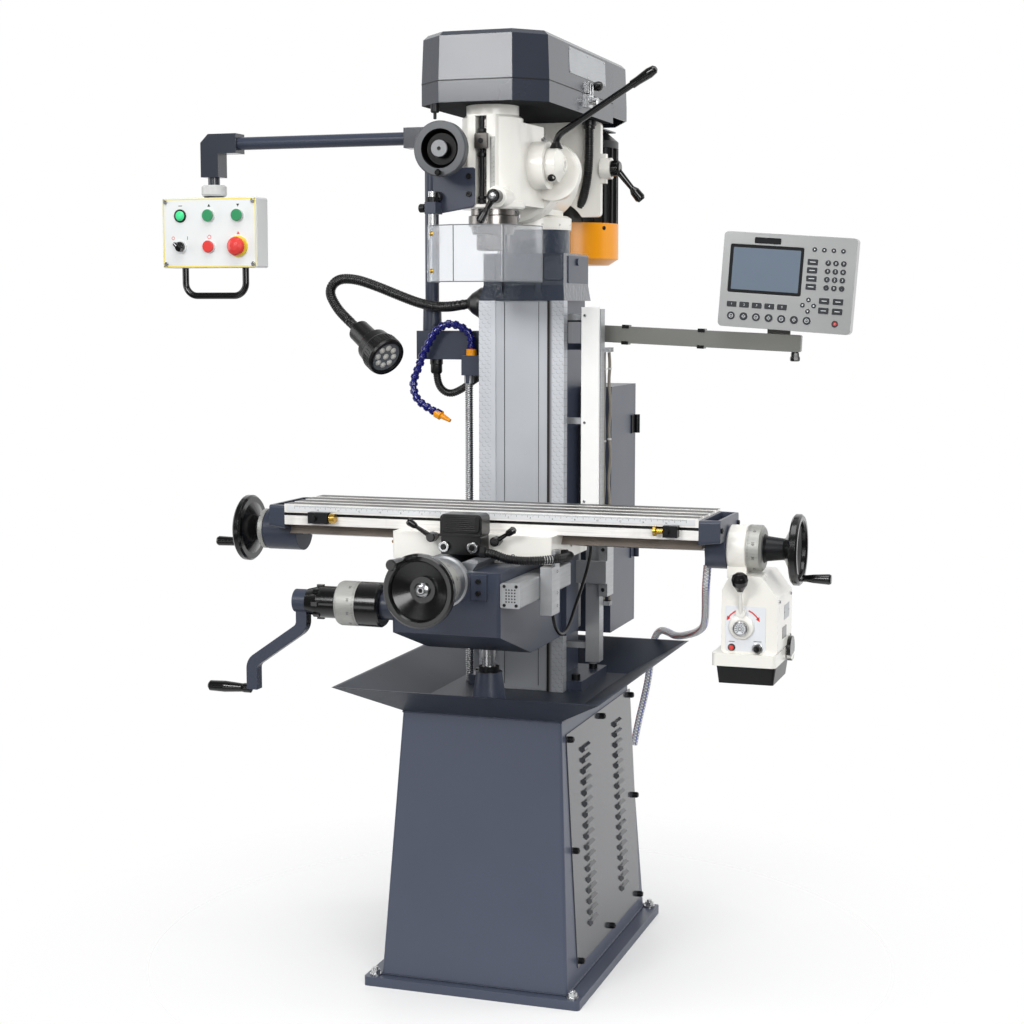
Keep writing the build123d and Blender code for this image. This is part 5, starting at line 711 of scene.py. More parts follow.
# Table: ground iron with three T-slots. Its sides are planed, and an engraved rule is fixed along
# the front above the groove for the stop dogs, which are blacked with brass adjusting screws.
# The feed screw carries a dial and a black wheel at either end.
ground_top = metal("ground_table", "686867", 0.46, (5, 300, 300), 0.05, 0.7, 0.12)
planed_side = metal("planed_side", "f2f0ec", 0.42, (9, 300, 300), 0.06, 0.12, 0.3)
oiled_and_shaded_way = metal("oiled_and_shaded_way", "8f857d", 0.36, (9, 300, 300), 0.08, 0.5, 0.3)
brass = metal("brass", "c9a24a", 0.28, (500, 500, 500), 0.08)
rule_foil = painted("rule_foil", "dfe1e3", "c8cacc", 0.02, 0.3, 0.2, Metallic=0.2)
# Faces below z 986.5 take a darker brown: oil, and painted shade under the table.
# Faces inside the groove for the stop dogs are painted near black: painted shade in the groove.
dress("table", planed_side, (ground_top, lambda x, y, z: z > 1031.9), (oiled_and_shaded_way, lambda x, y, z: z < 986.5),
      (joint_and_recess_shade, (-500, -282.9, 1006.9), (500, -274.9, 1013.1)))
dress("table_fittings", slate, (black_oxide, (-385, -312, 985), (440, -283.2, 1020)),
      (bronze, (445, -154, 915), (473, -126, 967)),
      (brass, lambda x, y, z: y < -283.2 and (-333 < x < -317 or 381 < x < 402)))
rule = bmesh.new()
front = facing(14.5, -283, 1023)
plate(rule, front, rounded(900, 13, 0.8, 2), 0, 0.7)
for step in range(-180, 181):
    tall = 7 if step % 10 == 0 else 5 if step % 5 == 0 else 3
    bar(rule, front, 2.4 * step, 5.8 - tall / 2, 0.55, tall, 1, 0.82)
for step in range(-8, 9):
    figures(rule, moved(front, 48 * step + 6, -2.6), str(abs(2 * step)), 5.2, 1, 0.82)
settle(rule, "table_rule", "table", rule_foil, ink)
feed_y, feed_z = -182, 964
dress("table_screw", black_gloss, (silver_dial, (-543, -240, 900), (-526, -120, 1020)),
      (black_oxide, (-560, -205, 940), (-542, -160, 990)),
      (silver_dial, (555, -240, 900), (588, -120, 1020)), (black_oxide, (588, -212, 930), (630, -150, 1000)),
      (turned_steel, (-527, -194, 950), (516, -170, 978)),
      (turned_steel, lambda x, y, z: hypot(y - feed_y, z - feed_z) < 15.2 and not -557 < x < 668))
engrave("left_dial_lines", "table_screw", (-528, feed_y, feed_z + 0.05), left, 44, 80, 4.6)
engrave("right_dial_lines", "table_screw", (558, feed_y, feed_z + 0.05), right, 48, 100, 8)
ends = bmesh.new()
for angle in (40, 140, 220, 320):
    turn = radians(angle)
    socket_screw(ends, facing(-525.9, feed_y + 33 * cos(turn), feed_z + 33 * sin(turn), left), 1, 0.2)
for y in (-262, -102):
    socket_screw(ends, facing(-484.1, y, 1006, left), 5.5, 4.5)
    socket_screw(ends, facing(513.1, y, 1006, right), 5.5, 4.5)
settle(ends, "bracket_screws", "table", black_oxide, joint_and_recess_shade)

# Power feed: moulded cream housing on the table's end, with a black lower cover, a light control panel
# and bare plates. A cream stem with a black pear grip sets the direction, a chromed knob the speed.
red_plastic = painted("red_plastic", "dc423e", "e4665e", 0.04, 0.25, 0.1)
panel_grey = painted("panel_foil", "e3e6ea", "b5b8ba", 0.03, 0.35)
plate_grey = metal("bare_plate", "b9bcbf", 0.36, (900, 30, 900), 0.06, 0.7)
dress("feed_housing", cream, (black_rubber, (490, -280, 680), (650, -80, 732)),
      (black_gloss, (629.2, -160, 740), (640, -90, 800)))
dress("feed_lever", black_gloss, (cream, lambda x, y, z: z < 887))
dress("feed_knob", zinc)
dress("feed_switch", black_gloss)
dress("feed_reset", red_plastic)
panel_y, end_x, knob_x = -252, 629, 555.5
face = bmesh.new()
front = facing(563.5, panel_y, 808)
plate(face, front, rounded(82, 92, 4), 0, 0.5)
curve_out = [(44, angle) for angle in (22, 34, 46, 56)]
curve_in = [(41, angle) for angle in (56, 46, 34, 22)]
for sign, centre_x in ((-1, 0), (1, -10)):
    for outline in (curve_out + curve_in, [(47, 54), (42.5, 66), (38, 54)]):
        patch(face, front, [(centre_x + sign * radius * sin(radians(angle)), radius * cos(radians(angle)) - 2)
                            for radius, angle in outline], 1, 0.62)
lathe(face, facing(knob_x, panel_y, 812), [(0.4, 26), (6, 25), (8, 22), (8, 0)], 6, 32)
bar(face, front, 24.8, -25, 16, 1.2, 2, 0.62)
bar(face, front, -28, -27, 12, 1.2, 2, 0.62)
lathe(face, facing(588.5, panel_y, 769), [(0.5, 11), (2.5, 11), (3, 10), (3, 8.4)], 3)
lathe(face, facing(535.5, panel_y, 769), [(0.5, 7.5), (2, 7.5), (2.4, 6.8), (2.4, 5.4)], 2)
side = facing(end_x, -156, 834, right)
plate(face, side, rounded(56, 30, 2), 0, 0.5, 4)
plate(face, facing(end_x, -178, 794, right), rounded(44, 24, 2), 0, 0.5, 5)
for x in (-24, 24):
    lathe(face, moved(side, x, 0), [(0.4, 1.8), (1.1, 1.5), (1.3, 0)], 3, 10)
for y, z in ((-236, 864), (-112, 864), (-112, 776)):
    socket_screw(face, facing(end_x, y, z, right), 3.6, 2.4, 3, 2)
settle(face, "feed_panel", "table", panel_grey, red_plastic, ink, zinc, plate_grey, black_gloss, cream)
knob = bmesh.new()
front = facing(knob_x, -270.3, 810)
lathe(knob, front, [(0, 11), (0.3, 11), (0.3, 0)])
for angle in range(-140, 141, 28):
    bar(knob, front @ Matrix.Rotation(radians(-angle), 4, "Z"), 0, 7.8, 1.7, 4.6, 1, 0.42)
lathe(knob, front, [(0.45, 4.2), (0.45, 2.4)], 1, 20)
for k in range(32):
    seat = around((knob_x, -256, 810), fore, 16.2, 360 * k / 32)
    plate(knob, seat, rounded(1.5, 8, 0.5, 2), 0, 0.9, 2)
settle(knob, "feed_knob_face", "feed_knob", panel_grey, ink, zinc)

# Turret: casting in cream enamel that turns on the column's neck. The lines in degrees round its foot
# are cut and inked, and its front carries the flange on which the head tilts.
dress("turret", cream)
engrave("turret_lines", "turret", (0, 100, 1626), above, 84, 120, 5.5)

# Head: casting in cream enamel with the bracket of the chip guard, a steel rule, a black threaded
# depth rod with its nuts and a plate behind for the motor. A ribbed conduit feeds the motor, and
# three zinc nuts clamp the head to the turret's flange.
dress("head_casting", cream)
dress("head_fittings", cream, (black_oxide, (-6, -262, 1650), (6, -230, 1860)),
      (slate, (-112, -304, 1640), (-10, -255.5, 1740)),
      (black_rubber, lambda x, y, z: 70 < x < 119 and y < 190 and z < 1870 and hypot(x - 100, y - 174) < 30))
rod_y, rod_foot, rod_pitch, turn_steps = -249, 1666, 2.5, 12
trim = bmesh.new()
for z, height in ((1667, 7), (1675.5, 6), (1762, 8), (1811, 8)):
    ring_nut = [(0, 8), (1, 9), (height - 1, 9), (height, 8), (height, 5)]
    lathe(trim, facing(0, rod_y, z, above, fore), ring_nut, 0, 24)
thread = []
for k in range(70 * turn_steps):
    turn = 2 * pi * k / turn_steps
    thread.append(Vector((5 * cos(turn), rod_y + 5 * sin(turn), rod_foot + rod_pitch * k / turn_steps)))
tube(trim, thread, [0.55] * len(thread), 0, 4)
for z in (1722, 1686):
    socket_screw(trim, facing(-24, -261.6, z), 6, 5)
corner_plate = [(-104, 1646), (-18, 1660), (-11, 1664), (-11, 1737), (-15, 1740), (-100, 1740), (-104, 1736)]
plate(trim, facing(0, -259.8, 0), corner_plate, 0, 2, 2)
front_knob = [(0, 6), (6, 6), (7, 11), (18, 11), (20, 9), (20, 0)]
side_knob = [(0, 4), (4, 4), (4, 9), (14, 9), (16, 7), (16, 0)]
lathe(trim, facing(-90, -260, 1681), front_knob, 0, 24)
lathe(trim, facing(-108, -288, 1657, left), side_knob, 0, 20)
settle(trim, "head_stop_parts", "head", black_oxide, joint_and_recess_shade, slate)
rule = bmesh.new()
front = facing(25, -256, 1748)
plate(rule, front, rounded(11, 108, 0.8, 2), 0, 0.8)
for step in range(51):
    wide = 6 if step % 5 == 0 else 3.2
    bar(rule, front, -5 + wide / 2, 50 - 2 * step, wide, 0.35, 1, 0.92)
for step in range(1, 10):
    figures(rule, moved(front, 3.2, 52.6 - 10 * step), str(step), 4, 1, 0.92)
for y in (-51.5, 51.5):
    lathe(rule, moved(front, 2.5, y), [(0.8, 1.5), (1.4, 1.2), (1.4, 0)], 0, 10)
settle(rule, "depth_rule", "head", silver_dial, ink)
trim = bmesh.new()
for x, z in ((62, 1800), (-62, 1800), (0, 1650)):
    seat = facing(x, -56, z)
    lathe(trim, seat, [(0, 19), (2.4, 19), (2.8, 18.4), (2.8, 12)])
    lathe(trim, seat, [(2.8, 16.5), (14, 16.5), (16, 14.5), (16, 8)], 0, 6)
    lathe(trim, seat, [(16, 8), (19, 7.5), (19, 0)], 0, 18)
settle(trim, "tilt_nuts", "head", zinc)
engrave("tilt_lines", "head", (0, -24, 1740), fore, 104, 180, 4.5)
motor_conduit = [(109, 164, 1868), (109, 164, 1810), (107, 167, 1768), (100, 174, 1730), (90, 184, 1702),
                 (80, 197, 1682)]
conduit = bmesh.new()
corrugated(conduit, spline_points(motor_conduit, 40), 9.6, 0.9, 5, 14)
gland = [(0, 16), (10, 16), (12, 13), (18, 13), (18, 9)]
lathe(conduit, facing(109, 164, 1869.5, below), gland, 0, 24)
settle(conduit, "motor_conduit_ribs", "head", black_rubber)

# Quill and spindle: hardened steel, ground bright, that slide in the head's bore. The quill's stop is
# a blued block with a black set screw, clamped on it, and meets the nuts of the depth rod.
bright_steel = metal("bright_steel", "8d8986", 0.26, (200, 200, 1600), 0.08)
blued_steel = painted("blued_steel", "55524f", "8a8885", 0.05, 0.3, 0.5, Metallic=0.7)
dress("quill", bright_steel)
dress("spindle", bright_steel)
stop = bmesh.new()
plate(stop, facing(5, -262.5, 1793), rounded(27, 32, 2, 3), 0, 9.3, 2, 1)
socket_screw(stop, facing(5, -271.8, 1793), 5.5, 0.8)
settle(stop, "stop_screw", "quill", black_oxide, joint_and_recess_shade, blued_steel)

# Quill feed lever: black steel stem with a moulded grip, screwed through a rubber collar into a
# cream hub. The hub's turned cap has a slot, and a second rubber plug closes its other bore.
dress("quill_lever", black_gloss, (cream, (100, -146, 1712), (138, -68, 1792)))
hub = bmesh.new()
seat = facing(134.3, -107, 1752, right)
lathe(hub, seat, [(0, 14), (1.6, 14), (2.2, 13.2), (2.2, 9), (0.8, 8.4), (0.8, 0)])
plate(hub, seat, rounded(3.4, 15, 1.6), 0.7, 1.0, 1)
lathe(hub, facing(115.3, -107, 1786, above), [(0, 14), (4, 13), (9, 10), (13, 9.4), (13, 7)], 1, 20)
plug = [(0, 9), (3, 8.6), (3, 6), (0.4, 5.6), (0.4, 0)]
lathe(hub, facing(113, -131, 1725, (0.35, -0.62, -0.7)), plug, 1, 20)
settle(hub, "lever_cap", "quill_lever", cream, black_rubber)

# Fine feed wheel and quill clamp: black moulded dish with a grey rim, held on its shaft by a grey
# hub disc with a black screw. The clamp is a black lever with a bright cap on its stud.
hub_grey = painted("hub_disc", "77797b", "9a9c9e", 0.05, 0.34, 0.2, Metallic=0.3)
dish_black = painted("dish_black", "020203", "101012", 0.04, 0.3, 0.1, Specular_IOR_Level=0.16)
rim_grey = painted("rim_enamel", "484b4f", "6a6d71", 0.05, 0.32, 0.2)
fine_x, fine_z = -58, 1773
dress("fine_wheel", dish_black,
      (rim_grey, lambda x, y, z: hypot(x - fine_x, z - fine_z) > 39.6 and y > -345),
      (cast_steel, lambda x, y, z: hypot(x - fine_x, z - fine_z) < 15.5 and y < -340))
dress("quill_lock", black_gloss)
hub = bmesh.new()
seat = facing(fine_x, -346.3, fine_z)
lathe(hub, seat, [(-4.2, 16.3), (-4.2, 17.3), (0.6, 17.3), (1.2, 16.6), (1.2, 4)], 0, 36)
lathe(hub, seat, [(1.2, 4), (2.2, 3.6), (2.2, 1.6), (0.4, 1.4), (0.4, 0)], 1, 14)
settle(hub, "fine_wheel_nut", "fine_wheel", hub_grey, black_oxide)
cap = bmesh.new()
lathe(cap, facing(36, -288.3, 1680), [(-0.5, 7), (1.2, 7), (1.8, 6), (1.8, 0)], 0, 20)
settle(cap, "quill_lock_cap", "quill_lock", zinc)

# Belt guard: folded sheet in enamel with a hinged lid. A bare plate is screwed along the lid's right
# side; a chromed toggle latch and a black knob hold it shut.
guard_slate = painted("guard_enamel", "2f343e", "6f747f", 0.05, 0.26, 0.4,
                      Coat_Weight=0.25, Coat_Roughness=0.1)
# Near-black matt finish on the guard base's underside below z 1870.1: painted shade under the guard.
underside_shade = painted("painted_underside_shade", "17191d", "2a2c30", 0.1, 0.8, 0.1, Specular_IOR_Level=0.08)
dress("guard_base", guard_slate, (underside_shade, lambda x, y, z: z < 1870.1),
      (zinc, (139.6, 28, 1880), (165, 64, 1916)))
dress("guard_lid", guard_slate, (zinc, (139.7, 33, 1915.5), (146, 59, 1942)))
trim = bmesh.new()
side = facing(137.2, 52, 1973, (1, 0, 0.0405))
plate(trim, side, rounded(278, 54, 2), 0, 0.9)
for x in (-132, 0, 132):
    for y in (-23, 23):
        lathe(trim, moved(side, x, y), [(0.9, 3), (1.8, 2.6), (2.2, 1.4), (2.2, 0)], 1, 14)
lid_knob = [(0, 5), (5, 5), (6, 9), (16, 11), (23, 9), (26, 4), (26, 0)]
lathe(trim, facing(138.6, 80, 1934, (1, 0, 0.04)), lid_knob, 2, 24)
settle(trim, "lid_plates", "lid", plate_grey, zinc, black_gloss)


def strip(mesh, start, end, low, high, number):
    """Upright face between two points of a plan and two heights, in mm."""
    corners = ((*start, low), (*end, low), (*end, high), (*start, high))
    mesh.faces.new([mesh.verts.new(corner) for corner in corners]).material_index = number


latch = bmesh.new()
rim = [(-139.9, 250), (-139.9, -232.2), (-79.6, -292.4), (79.6, -292.4), (139.9, -232.2), (139.9, 250)]
for start, end in zip(rim, rim[1:]):
    strip(latch, start, end, 1913.4, 1915.4, 2)
loop = [Vector((148, y, z)) for y, z in ((36, 1902), (36, 1930), (37, 1934), (40, 1936), (52, 1936),
                                         (55, 1934), (56, 1930), (56, 1902))]
tube(latch, loop, [1.8] * len(loop), 0, 10)
plate(latch, facing(161.5, 46, 1893, right), rounded(16, 26, 3), -1, 2, 0, 1)
foot = [(0, 9), (16, 9), (18, 7), (18, 3.4), (30, 3.4), (31, 2.6), (31, 0)]
lathe(latch, facing(-95.6, -270, 1870, below), foot, 1, 20)
settle(latch, "guard_latch", "head", zinc, black_oxide, joint_and_recess_shade)

# Belt drive and motor: cast pulleys with a rubber belt, a black finned motor with an orange fan
# cover below it, and the black tension lever on the motor plate. Black screws hold the fan cover.
orange = painted("orange_plastic", "f39c04", "f4bb58", 0.04, 0.3, 0.2)
dress("spindle_pulley", cast_steel)
dress("motor_rotor", cast_steel)
dress("drive_belt", painted("belt_rubber", "202022", "3a3a3a", 0.3, 0.6, 0.3))
dress("motor_body", painted("motor_black", "131416", "2c2e32", 0.25, 0.36, 0.3),
      (orange, (-120, 265, 1550), (120, 505, 1650.5)))
dress("tension_lever", black_gloss)
screws = bmesh.new()
for angle in (-70, -20, 60, 150, 240):
    seat = around((0, 385, 1638), above, 113, angle)
    lathe(screws, seat, [(0, 5), (1, 5), (2.4, 3.6), (2.8, 0)], 0, 16)
settle(screws, "fan_screws", "head", black_oxide)

# Chip guard: clear polycarbonate sheet, cut and bent, and riveted to a turned steel rod that swings
# in the head's bracket. Its cut edges and bends look grey.
haze, given, made = group("faint_haze", {"Clear": 0.05, "Dull": 0.16}, ("Roughness",))
cloud = noise(haze, add(haze, "TexCoord").outputs["Object"], 26.0, 5.0)
wire(haze, made["Roughness"], ramp(haze, cloud, 0.45, 0.75, given["Clear"], given["Dull"]))
polycarbonate = finish("polycarbonate", haze, {}, Base_Color=(0.92, 0.94, 0.97, 1),
                       Transmission_Weight=0.84, IOR=1.35)
sheet_edge = painted("sheet_edge", "676b6e", "979b9d", 0.02, 0.2, 0.1, Coat_Weight=0.3)
hinge_x, hinge_y, sheet_foot, sheet_top = -96, -288, 1505, 1622
dress("chip_guard", polycarbonate,
      (sheet_edge, lambda x, y, z: z < sheet_foot + 0.1 or abs(z - sheet_top) < 0.1),
      (sheet_edge, lambda x, y, z: (x < -105 and y > -213) or (x > 105 and y > -190)),
      (turned_steel, lambda x, y, z: hypot(x - hinge_x, y - hinge_y) < 8.3 and z > 1591),
      (black_oxide, lambda x, y, z: 8.3 < hypot(x - hinge_x, y - hinge_y) < 13.5 and z > 1668))
rivets = bmesh.new()
corner = (-0.35, -0.94, 0)
for z in (1528, 1604):
    lathe(rivets, facing(-92, -302.6, z, corner), [(0, 5), (1.4, 4.6), (2.6, 2.6), (2.8, 0)], 0, 18)
plate(rivets, facing(-92, -301, 1563.5, corner), rounded(24, 116, 1, 2), 0, 0.8, 1)
for x, y, out in ((-36, -324.4, (-0.15, -1, 0)), (69.5, -316.5, (0.6, -0.8, 0))):
    plate(rivets, facing(x, y, 1563.5, out), rounded(1.8, 116.6, 0.4, 1), 0, 0.5, 2)
bends = [Vector(spot) for spot in ((-110, -212), (-98, -298), (-36, -322), (69, -314), (110, -188))]
outline = [bends[0]]
bend_radius, bend_steps = 14, 6
for before, bend, after in zip(bends, bends[1:], bends[2:]):
    into, out = (bend - before).normalized(), (after - bend).normalized()
    reach = bend_radius * tan(into.angle(out) / 2)
    for step in range(bend_steps + 1):
        part = step / bend_steps
        outline.append((1 - part) ** 2 * (bend - reach * into) + 2 * part * (1 - part) * bend
                       + part ** 2 * (bend + reach * out))
outline.append(bends[-1])
for start, end in zip(outline, outline[1:]):
    out = 2.2 * Vector((end.y - start.y, start.x - end.x)).normalized()
    for low in (sheet_foot, sheet_top - 2):
        strip(rivets, start + out, end + out, low, low + 2, 2)
settle(rivets, "guard_rivets", "chip_guard", brass, polycarbonate, sheet_edge)

# Work lamp: black moulded housing with a knurled bezel and a clear lens over nine diodes. It is
# screwed to the column's side by a ribbed goose neck.
dress("work_lamp", black_rubber)
lamp_route = [(-146, 80, 1462), (-205, 80, 1452), (-262, 80, 1460), (-318, 80, 1480), (-372, 80, 1501),
              (-428, 80, 1519), (-474, 80, 1519), (-496, 80, 1490), (-474, 80, 1450), (-444, 74, 1424),
              (-414, 62, 1402)]
neck = bmesh.new()
corrugated(neck, spline_points(lamp_route, 26), 11.3, 0.7, 5.2, 16)
seat = facing(*lamp_route[-1], (0.75, -0.44, -0.50))
for k in range(36):
    spoke = moved(seat @ Matrix.Rotation(2 * pi * k / 36, 4, "Z"), 45, 0, 106)
    plate(neck, spoke @ Matrix.Rotation(pi / 2, 4, "Y"), rounded(20, 4.2, 1, 2), -1, 1.4)
settle(neck, "lamp_ribs", "base", black_rubber)
lens_clear = painted("lamp_lens", "6d7174", "8d9194", 0.02, 0.12, 0.0, Coat_Weight=0.6)
diode = painted("diode_dome", "d9d8d2", "f6f2dc", 0.02, 0.12, 0.0, Coat_Weight=0.6)
eye = bmesh.new()
lathe(eye, seat, [(118.2, 36.6), (120, 36.6), (120, 0)])
for k in range(9):
    spread, angle = (22, 2 * pi * k / 8) if k else (0, 0)
    dome = [(0, 7.2), (0.8, 7.2), (0.8, 5.4), (2.6, 4.4), (3.6, 2), (3.8, 0)]
    lathe(eye, moved(seat, spread * cos(angle), spread * sin(angle), 120), dome, 1, 16)
settle(eye, "lamp_face", "base", lens_clear, diode)

# Coolant line: enamelled block on the column with a ribbed metal pipe from below. Royal blue ball
# joints, moulded and snapped together, lead from an orange ring to an orange nozzle.
royal_blue = painted("royal_blue", "0e1268", "3a49b4", 0.02, 0.2, 0.2, Coat_Weight=0.4, Coat_Roughness=0.08)
dress("coolant_line", slate, (royal_blue, lambda x, y, z: z > 1360 or (x < -165 and z > 1190)),
      (orange, (-153, 59, 1345.2), (-127, 86, 1360)), (orange, (-222, 20, 1170), (-160, 62, 1218)),
      (anodised, (-158, 62, 590), (-134, 84, 1299.5)))
pipe = bmesh.new()
corrugated(pipe, [Vector((-146, 72, z)) for z in range(600, 1281)], 8.6, 1.0, 5, 14)
settle(pipe, "coolant_pipe_ribs", "base", zinc)

# Measuring scale of the knee: white folded cover and an extruded aluminium bar on stays, with the
# readout's pivot bracket in enamel. Small zinc screws hold the cover.
white_cover = painted("white_cover", "f8f8f6", "d4d4d2", 0.05, 0.35, 0.2)
dress("z_scale", anodised, (white_cover, (130, 28, 1000), (174, 40, 1460)),
      (slate, (70, 90, 1350), (140, 152, 1440)), (black_gloss, lambda x, y, z: x > 160.1 and y > 78.1))
screws = bmesh.new()
for z in (1025, 1200, 1436):
    socket_screw(screws, facing(140, 30, z), 3.2, 1.8)
settle(screws, "scale_screws", "base", zinc, joint_and_recess_shade)

# Readout: grey-green arm with black cable clips and a clamp knob, and a moulded silver case with a
# grey screen, a blank badge, dark keys with plain figures and a red power key.
silver_case = painted("silver_case", "a9aaaa", "d6d6d4", 0.06, 0.32, 0.4, Metallic=0.45, Coat_Weight=0.2)
arm_green = painted("arm_enamel", "73746f", "9a9b97", 0.12, 0.34, 0.3, Metallic=0.2)
key_dark = painted("key_rubber", "23262b", "565a61", 0.05, 0.4)
screen = painted("screen_film", "6d7987", "8a96a2", 0.0, 0.10, 0.0, Coat_Weight=0.6, Coat_Roughness=0.03)
white_ink = painted("white_print", "dfe2e4", "eceeef", 0.0, 0.5)
badge_black = painted("blank_badge", "131417", "24262b", 0.03, 0.5, 0.1, Specular_IOR_Level=0.2)
dress("readout_arm", arm_green, (black_gloss, lambda x, y, z: z < 1352 and x > 560))
dress("readout_case", silver_case, (key_dark, lambda x, y, z: y < 77.9 and z < 1600),
      (key_dark, lambda x, y, z: 78.5 < y < 80.5 and x < 620))
lean, key_top = radians(4), 1.12
case = facing(576, 78, 1506, fore, (sin(lean), 0, cos(lean)))
marks = bmesh.new()
window = moved(case, -48, 24, -2)
plate(marks, window, rounded(158, 102, 4), 0, 0.7, 1)
plate(marks, window, rounded(146, 90, 2), 0.7, 0.9, 2)
plate(marks, moved(case, -48, 86), rounded(57, 13, 2), 0, 0.8, 1)
for k in range(12):
    figures(marks, moved(case, 85 + 16.5 * (k % 3), 47 - 17.5 * (k // 3), 1), "789456123-0."[k], 7)
for k in range(4):
    bar(marks, case, 52, 47 - 17.5 * k, 12, 1.4, 0, key_top)
    lathe(marks, moved(case, 53.8 + 20.4 * k, 73.7), [(1.1, 1.5), (1.1, 0)], 0, 14)
    arrow = moved(moved(case, 49.7, -45.5) @ Matrix.Rotation(k * pi / 2, 4, "Z"), 12.2, 0)
    patch(marks, arrow, ((2.4, 0), (-1.6, 2.2), (-1.6, -2.2)), 0, key_top)
    bar(marks, case, 83.2 + 29.6 * (k % 2), -33.7 - 20.6 * (k // 2), 11, 1.4, 0, key_top)
for k in range(5):
    figures(marks, moved(case, -116 + 27.5 * k, -53, 1), str(k + 1), 6.5)
for k in range(7):
    seat = moved(case, -115.5 + 27.5 * k, -78, 1)
    lathe(marks, seat, [(0.1, 4.4), (0.1, 3.5)], 0, 4 if k % 2 else 18)
    bar(marks, seat, 0, 0, 5, 0.9)
power_key = moved(case, 110, -80.6, 1)
lathe(marks, power_key, [(0.06, 3.8), (0.06, 0)], 3, 24)
bar(marks, power_key, 0, 0.6, 1, 4, 0, 0.1)
settle(marks, "readout_face", "readout", white_ink, badge_black, screen, red_plastic)
clips = bmesh.new()
droop = radians(2.6)
for reach in (90, 262):
    place = facing(122 + reach * cos(droop), 112, 1397 - reach * sin(droop), fore,
                   (sin(droop), 0, cos(droop)))
    for edge in (-18, 18):
        plate(clips, moved(place, 0, edge), rounded(16, 8, 1.5, 3), -12, 12, 0, 1)
clamp_knob = [(-10, 9), (-4, 9), (0, 11), (6, 11), (8, 9), (8, 0)]
lathe(clips, facing(590, 112, 1345, below), clamp_knob, 0, 8)
settle(clips, "arm_clips", "readout_arm", black_gloss)

# Pendant: enamelled post and cast elbows with a steel tube between them, and a light grey box on a
# silver swivel ring. Its front has a yellow line, plain signs, round controls and a bent handle.
pendant_grey = painted("pendant_grey", "e2e4e4", "cfd0cf", 0.06, 0.3, 0.2)
green_plastic = painted("green_plastic", "37905f", "68ae8a", 0.04, 0.25, 0.1)
lit_green = painted("lit_green", "46d08a", "8ae8b8", 0.02, 0.2, 0.0,
                    Emission_Color=tone("39c97f"), Emission_Strength=0.25)
yellow = painted("yellow_print", "ecd94a", "f0d35a", 0.03, 0.35)
dress("pendant_post", slate)
post_gland = [(0, 12), (1, 15), (12, 15), (14, 13.4), (30, 13.4), (34, 11), (34, 8)]
gland = bmesh.new()
lathe(gland, facing(-238, 106, 1336, below), post_gland, 0, 24)
settle(gland, "post_gland", "base", black_rubber)
dress("pendant_arm", guard_slate, (slate, lambda x, y, z: -735 < x < -316),
      (moulded, lambda x, y, z: z < 1743 and x < -700))
left_x, middle_x, right_x, upper_z, lower_z, front_y = -884, -808, -732, 1670, 1597, 91
dress("pendant_box", pendant_grey, (black_gloss, (-900, 100, 1470), (-716, 140, 1546.9)),
      (lit_green, (-896, 60, 1657), (-872, 90.5, 1683)), (black_rubber, lambda x, y, z: z > 1712.2),
      (yellow, lambda x, y, z: y < front_y and 12.2 < hypot(x - right_x, z - lower_z) < 25.2),
      (zinc, lambda x, y, z: y < front_y and abs(x - middle_x) > 108),
      (black_rubber, lambda x, y, z: y < front_y and 12.2 < hypot(x - left_x, z - upper_z) < 15.8))
dress("selector", black_gloss)
dress("emergency_stop", red_plastic)
signs = bmesh.new()
front = facing(middle_x, front_y, 1629.5)
print_lift = 0.15
for x, y, width, height, number in ((0, -79, 244, 2.6, 0), (0, 79, 244, 2.6, 0), (-121, 0, 2.6, 160, 0),
                                    (121, 0, 2.6, 160, 0), (-58, -12, 1.6, 8, 3), (-76, 64, 10, 1.6, 1)):
    bar(signs, front, x, y, width, height, number, print_lift)
for x, y, number, way in ((0, 64, 1, 1), (76, 64, 1, -1), (76, -1, 2, 1)):
    arrow = [(x + px, y + way * py) for px, py in ((-4, -3), (4, -3), (0, 4))]
    patch(signs, front, arrow, number, print_lift)
for x, y, radius, inside in ((0, -10, 5, 3.6), (-96, -12, 4, 2.8)):
    lathe(signs, moved(front, x, y), [(print_lift, radius), (print_lift, inside)], 2, 24)
for x in (-115, 115):
    for y in (-73.5, 73.5):
        socket_screw(signs, moved(front, x, y), 5.4, 3.6, 4)
settle(signs, "pendant_signs", "pendant", yellow, ink, red_plastic, green_plastic, zinc)
for name, x, z, colour in (("up_button", middle_x, upper_z, green_plastic),
                           ("down_button", right_x, upper_z, green_plastic),
                           ("stop_button", middle_x, lower_z, red_plastic)):
    dress(name, colour)
    cap = bmesh.new()
    lathe(cap, facing(x, 84, z), [(0.05, 11), (0.05, 14.2), (2.4, 14.2), (3.4, 13), (3.7, 0)], 0, 32)
    settle(cap, name + "_cap", name, colour)
pointer = bmesh.new()
seat = facing(left_x, 70, lower_z) @ Matrix.Rotation(radians(135), 4, "Z")
bar(pointer, seat, 7, 0, 10, 2.2, 0, print_lift)
settle(pointer, "selector_pointer", "selector", white_ink)

# Conduit and readout cables on the column: a corrugated black plastic conduit from the post's gland
# to the column, and two grey cables in moulded ties down the scale.
cable_grey = painted("cable_sleeve", "7d776d", "a6a098", 0.1, 0.36)


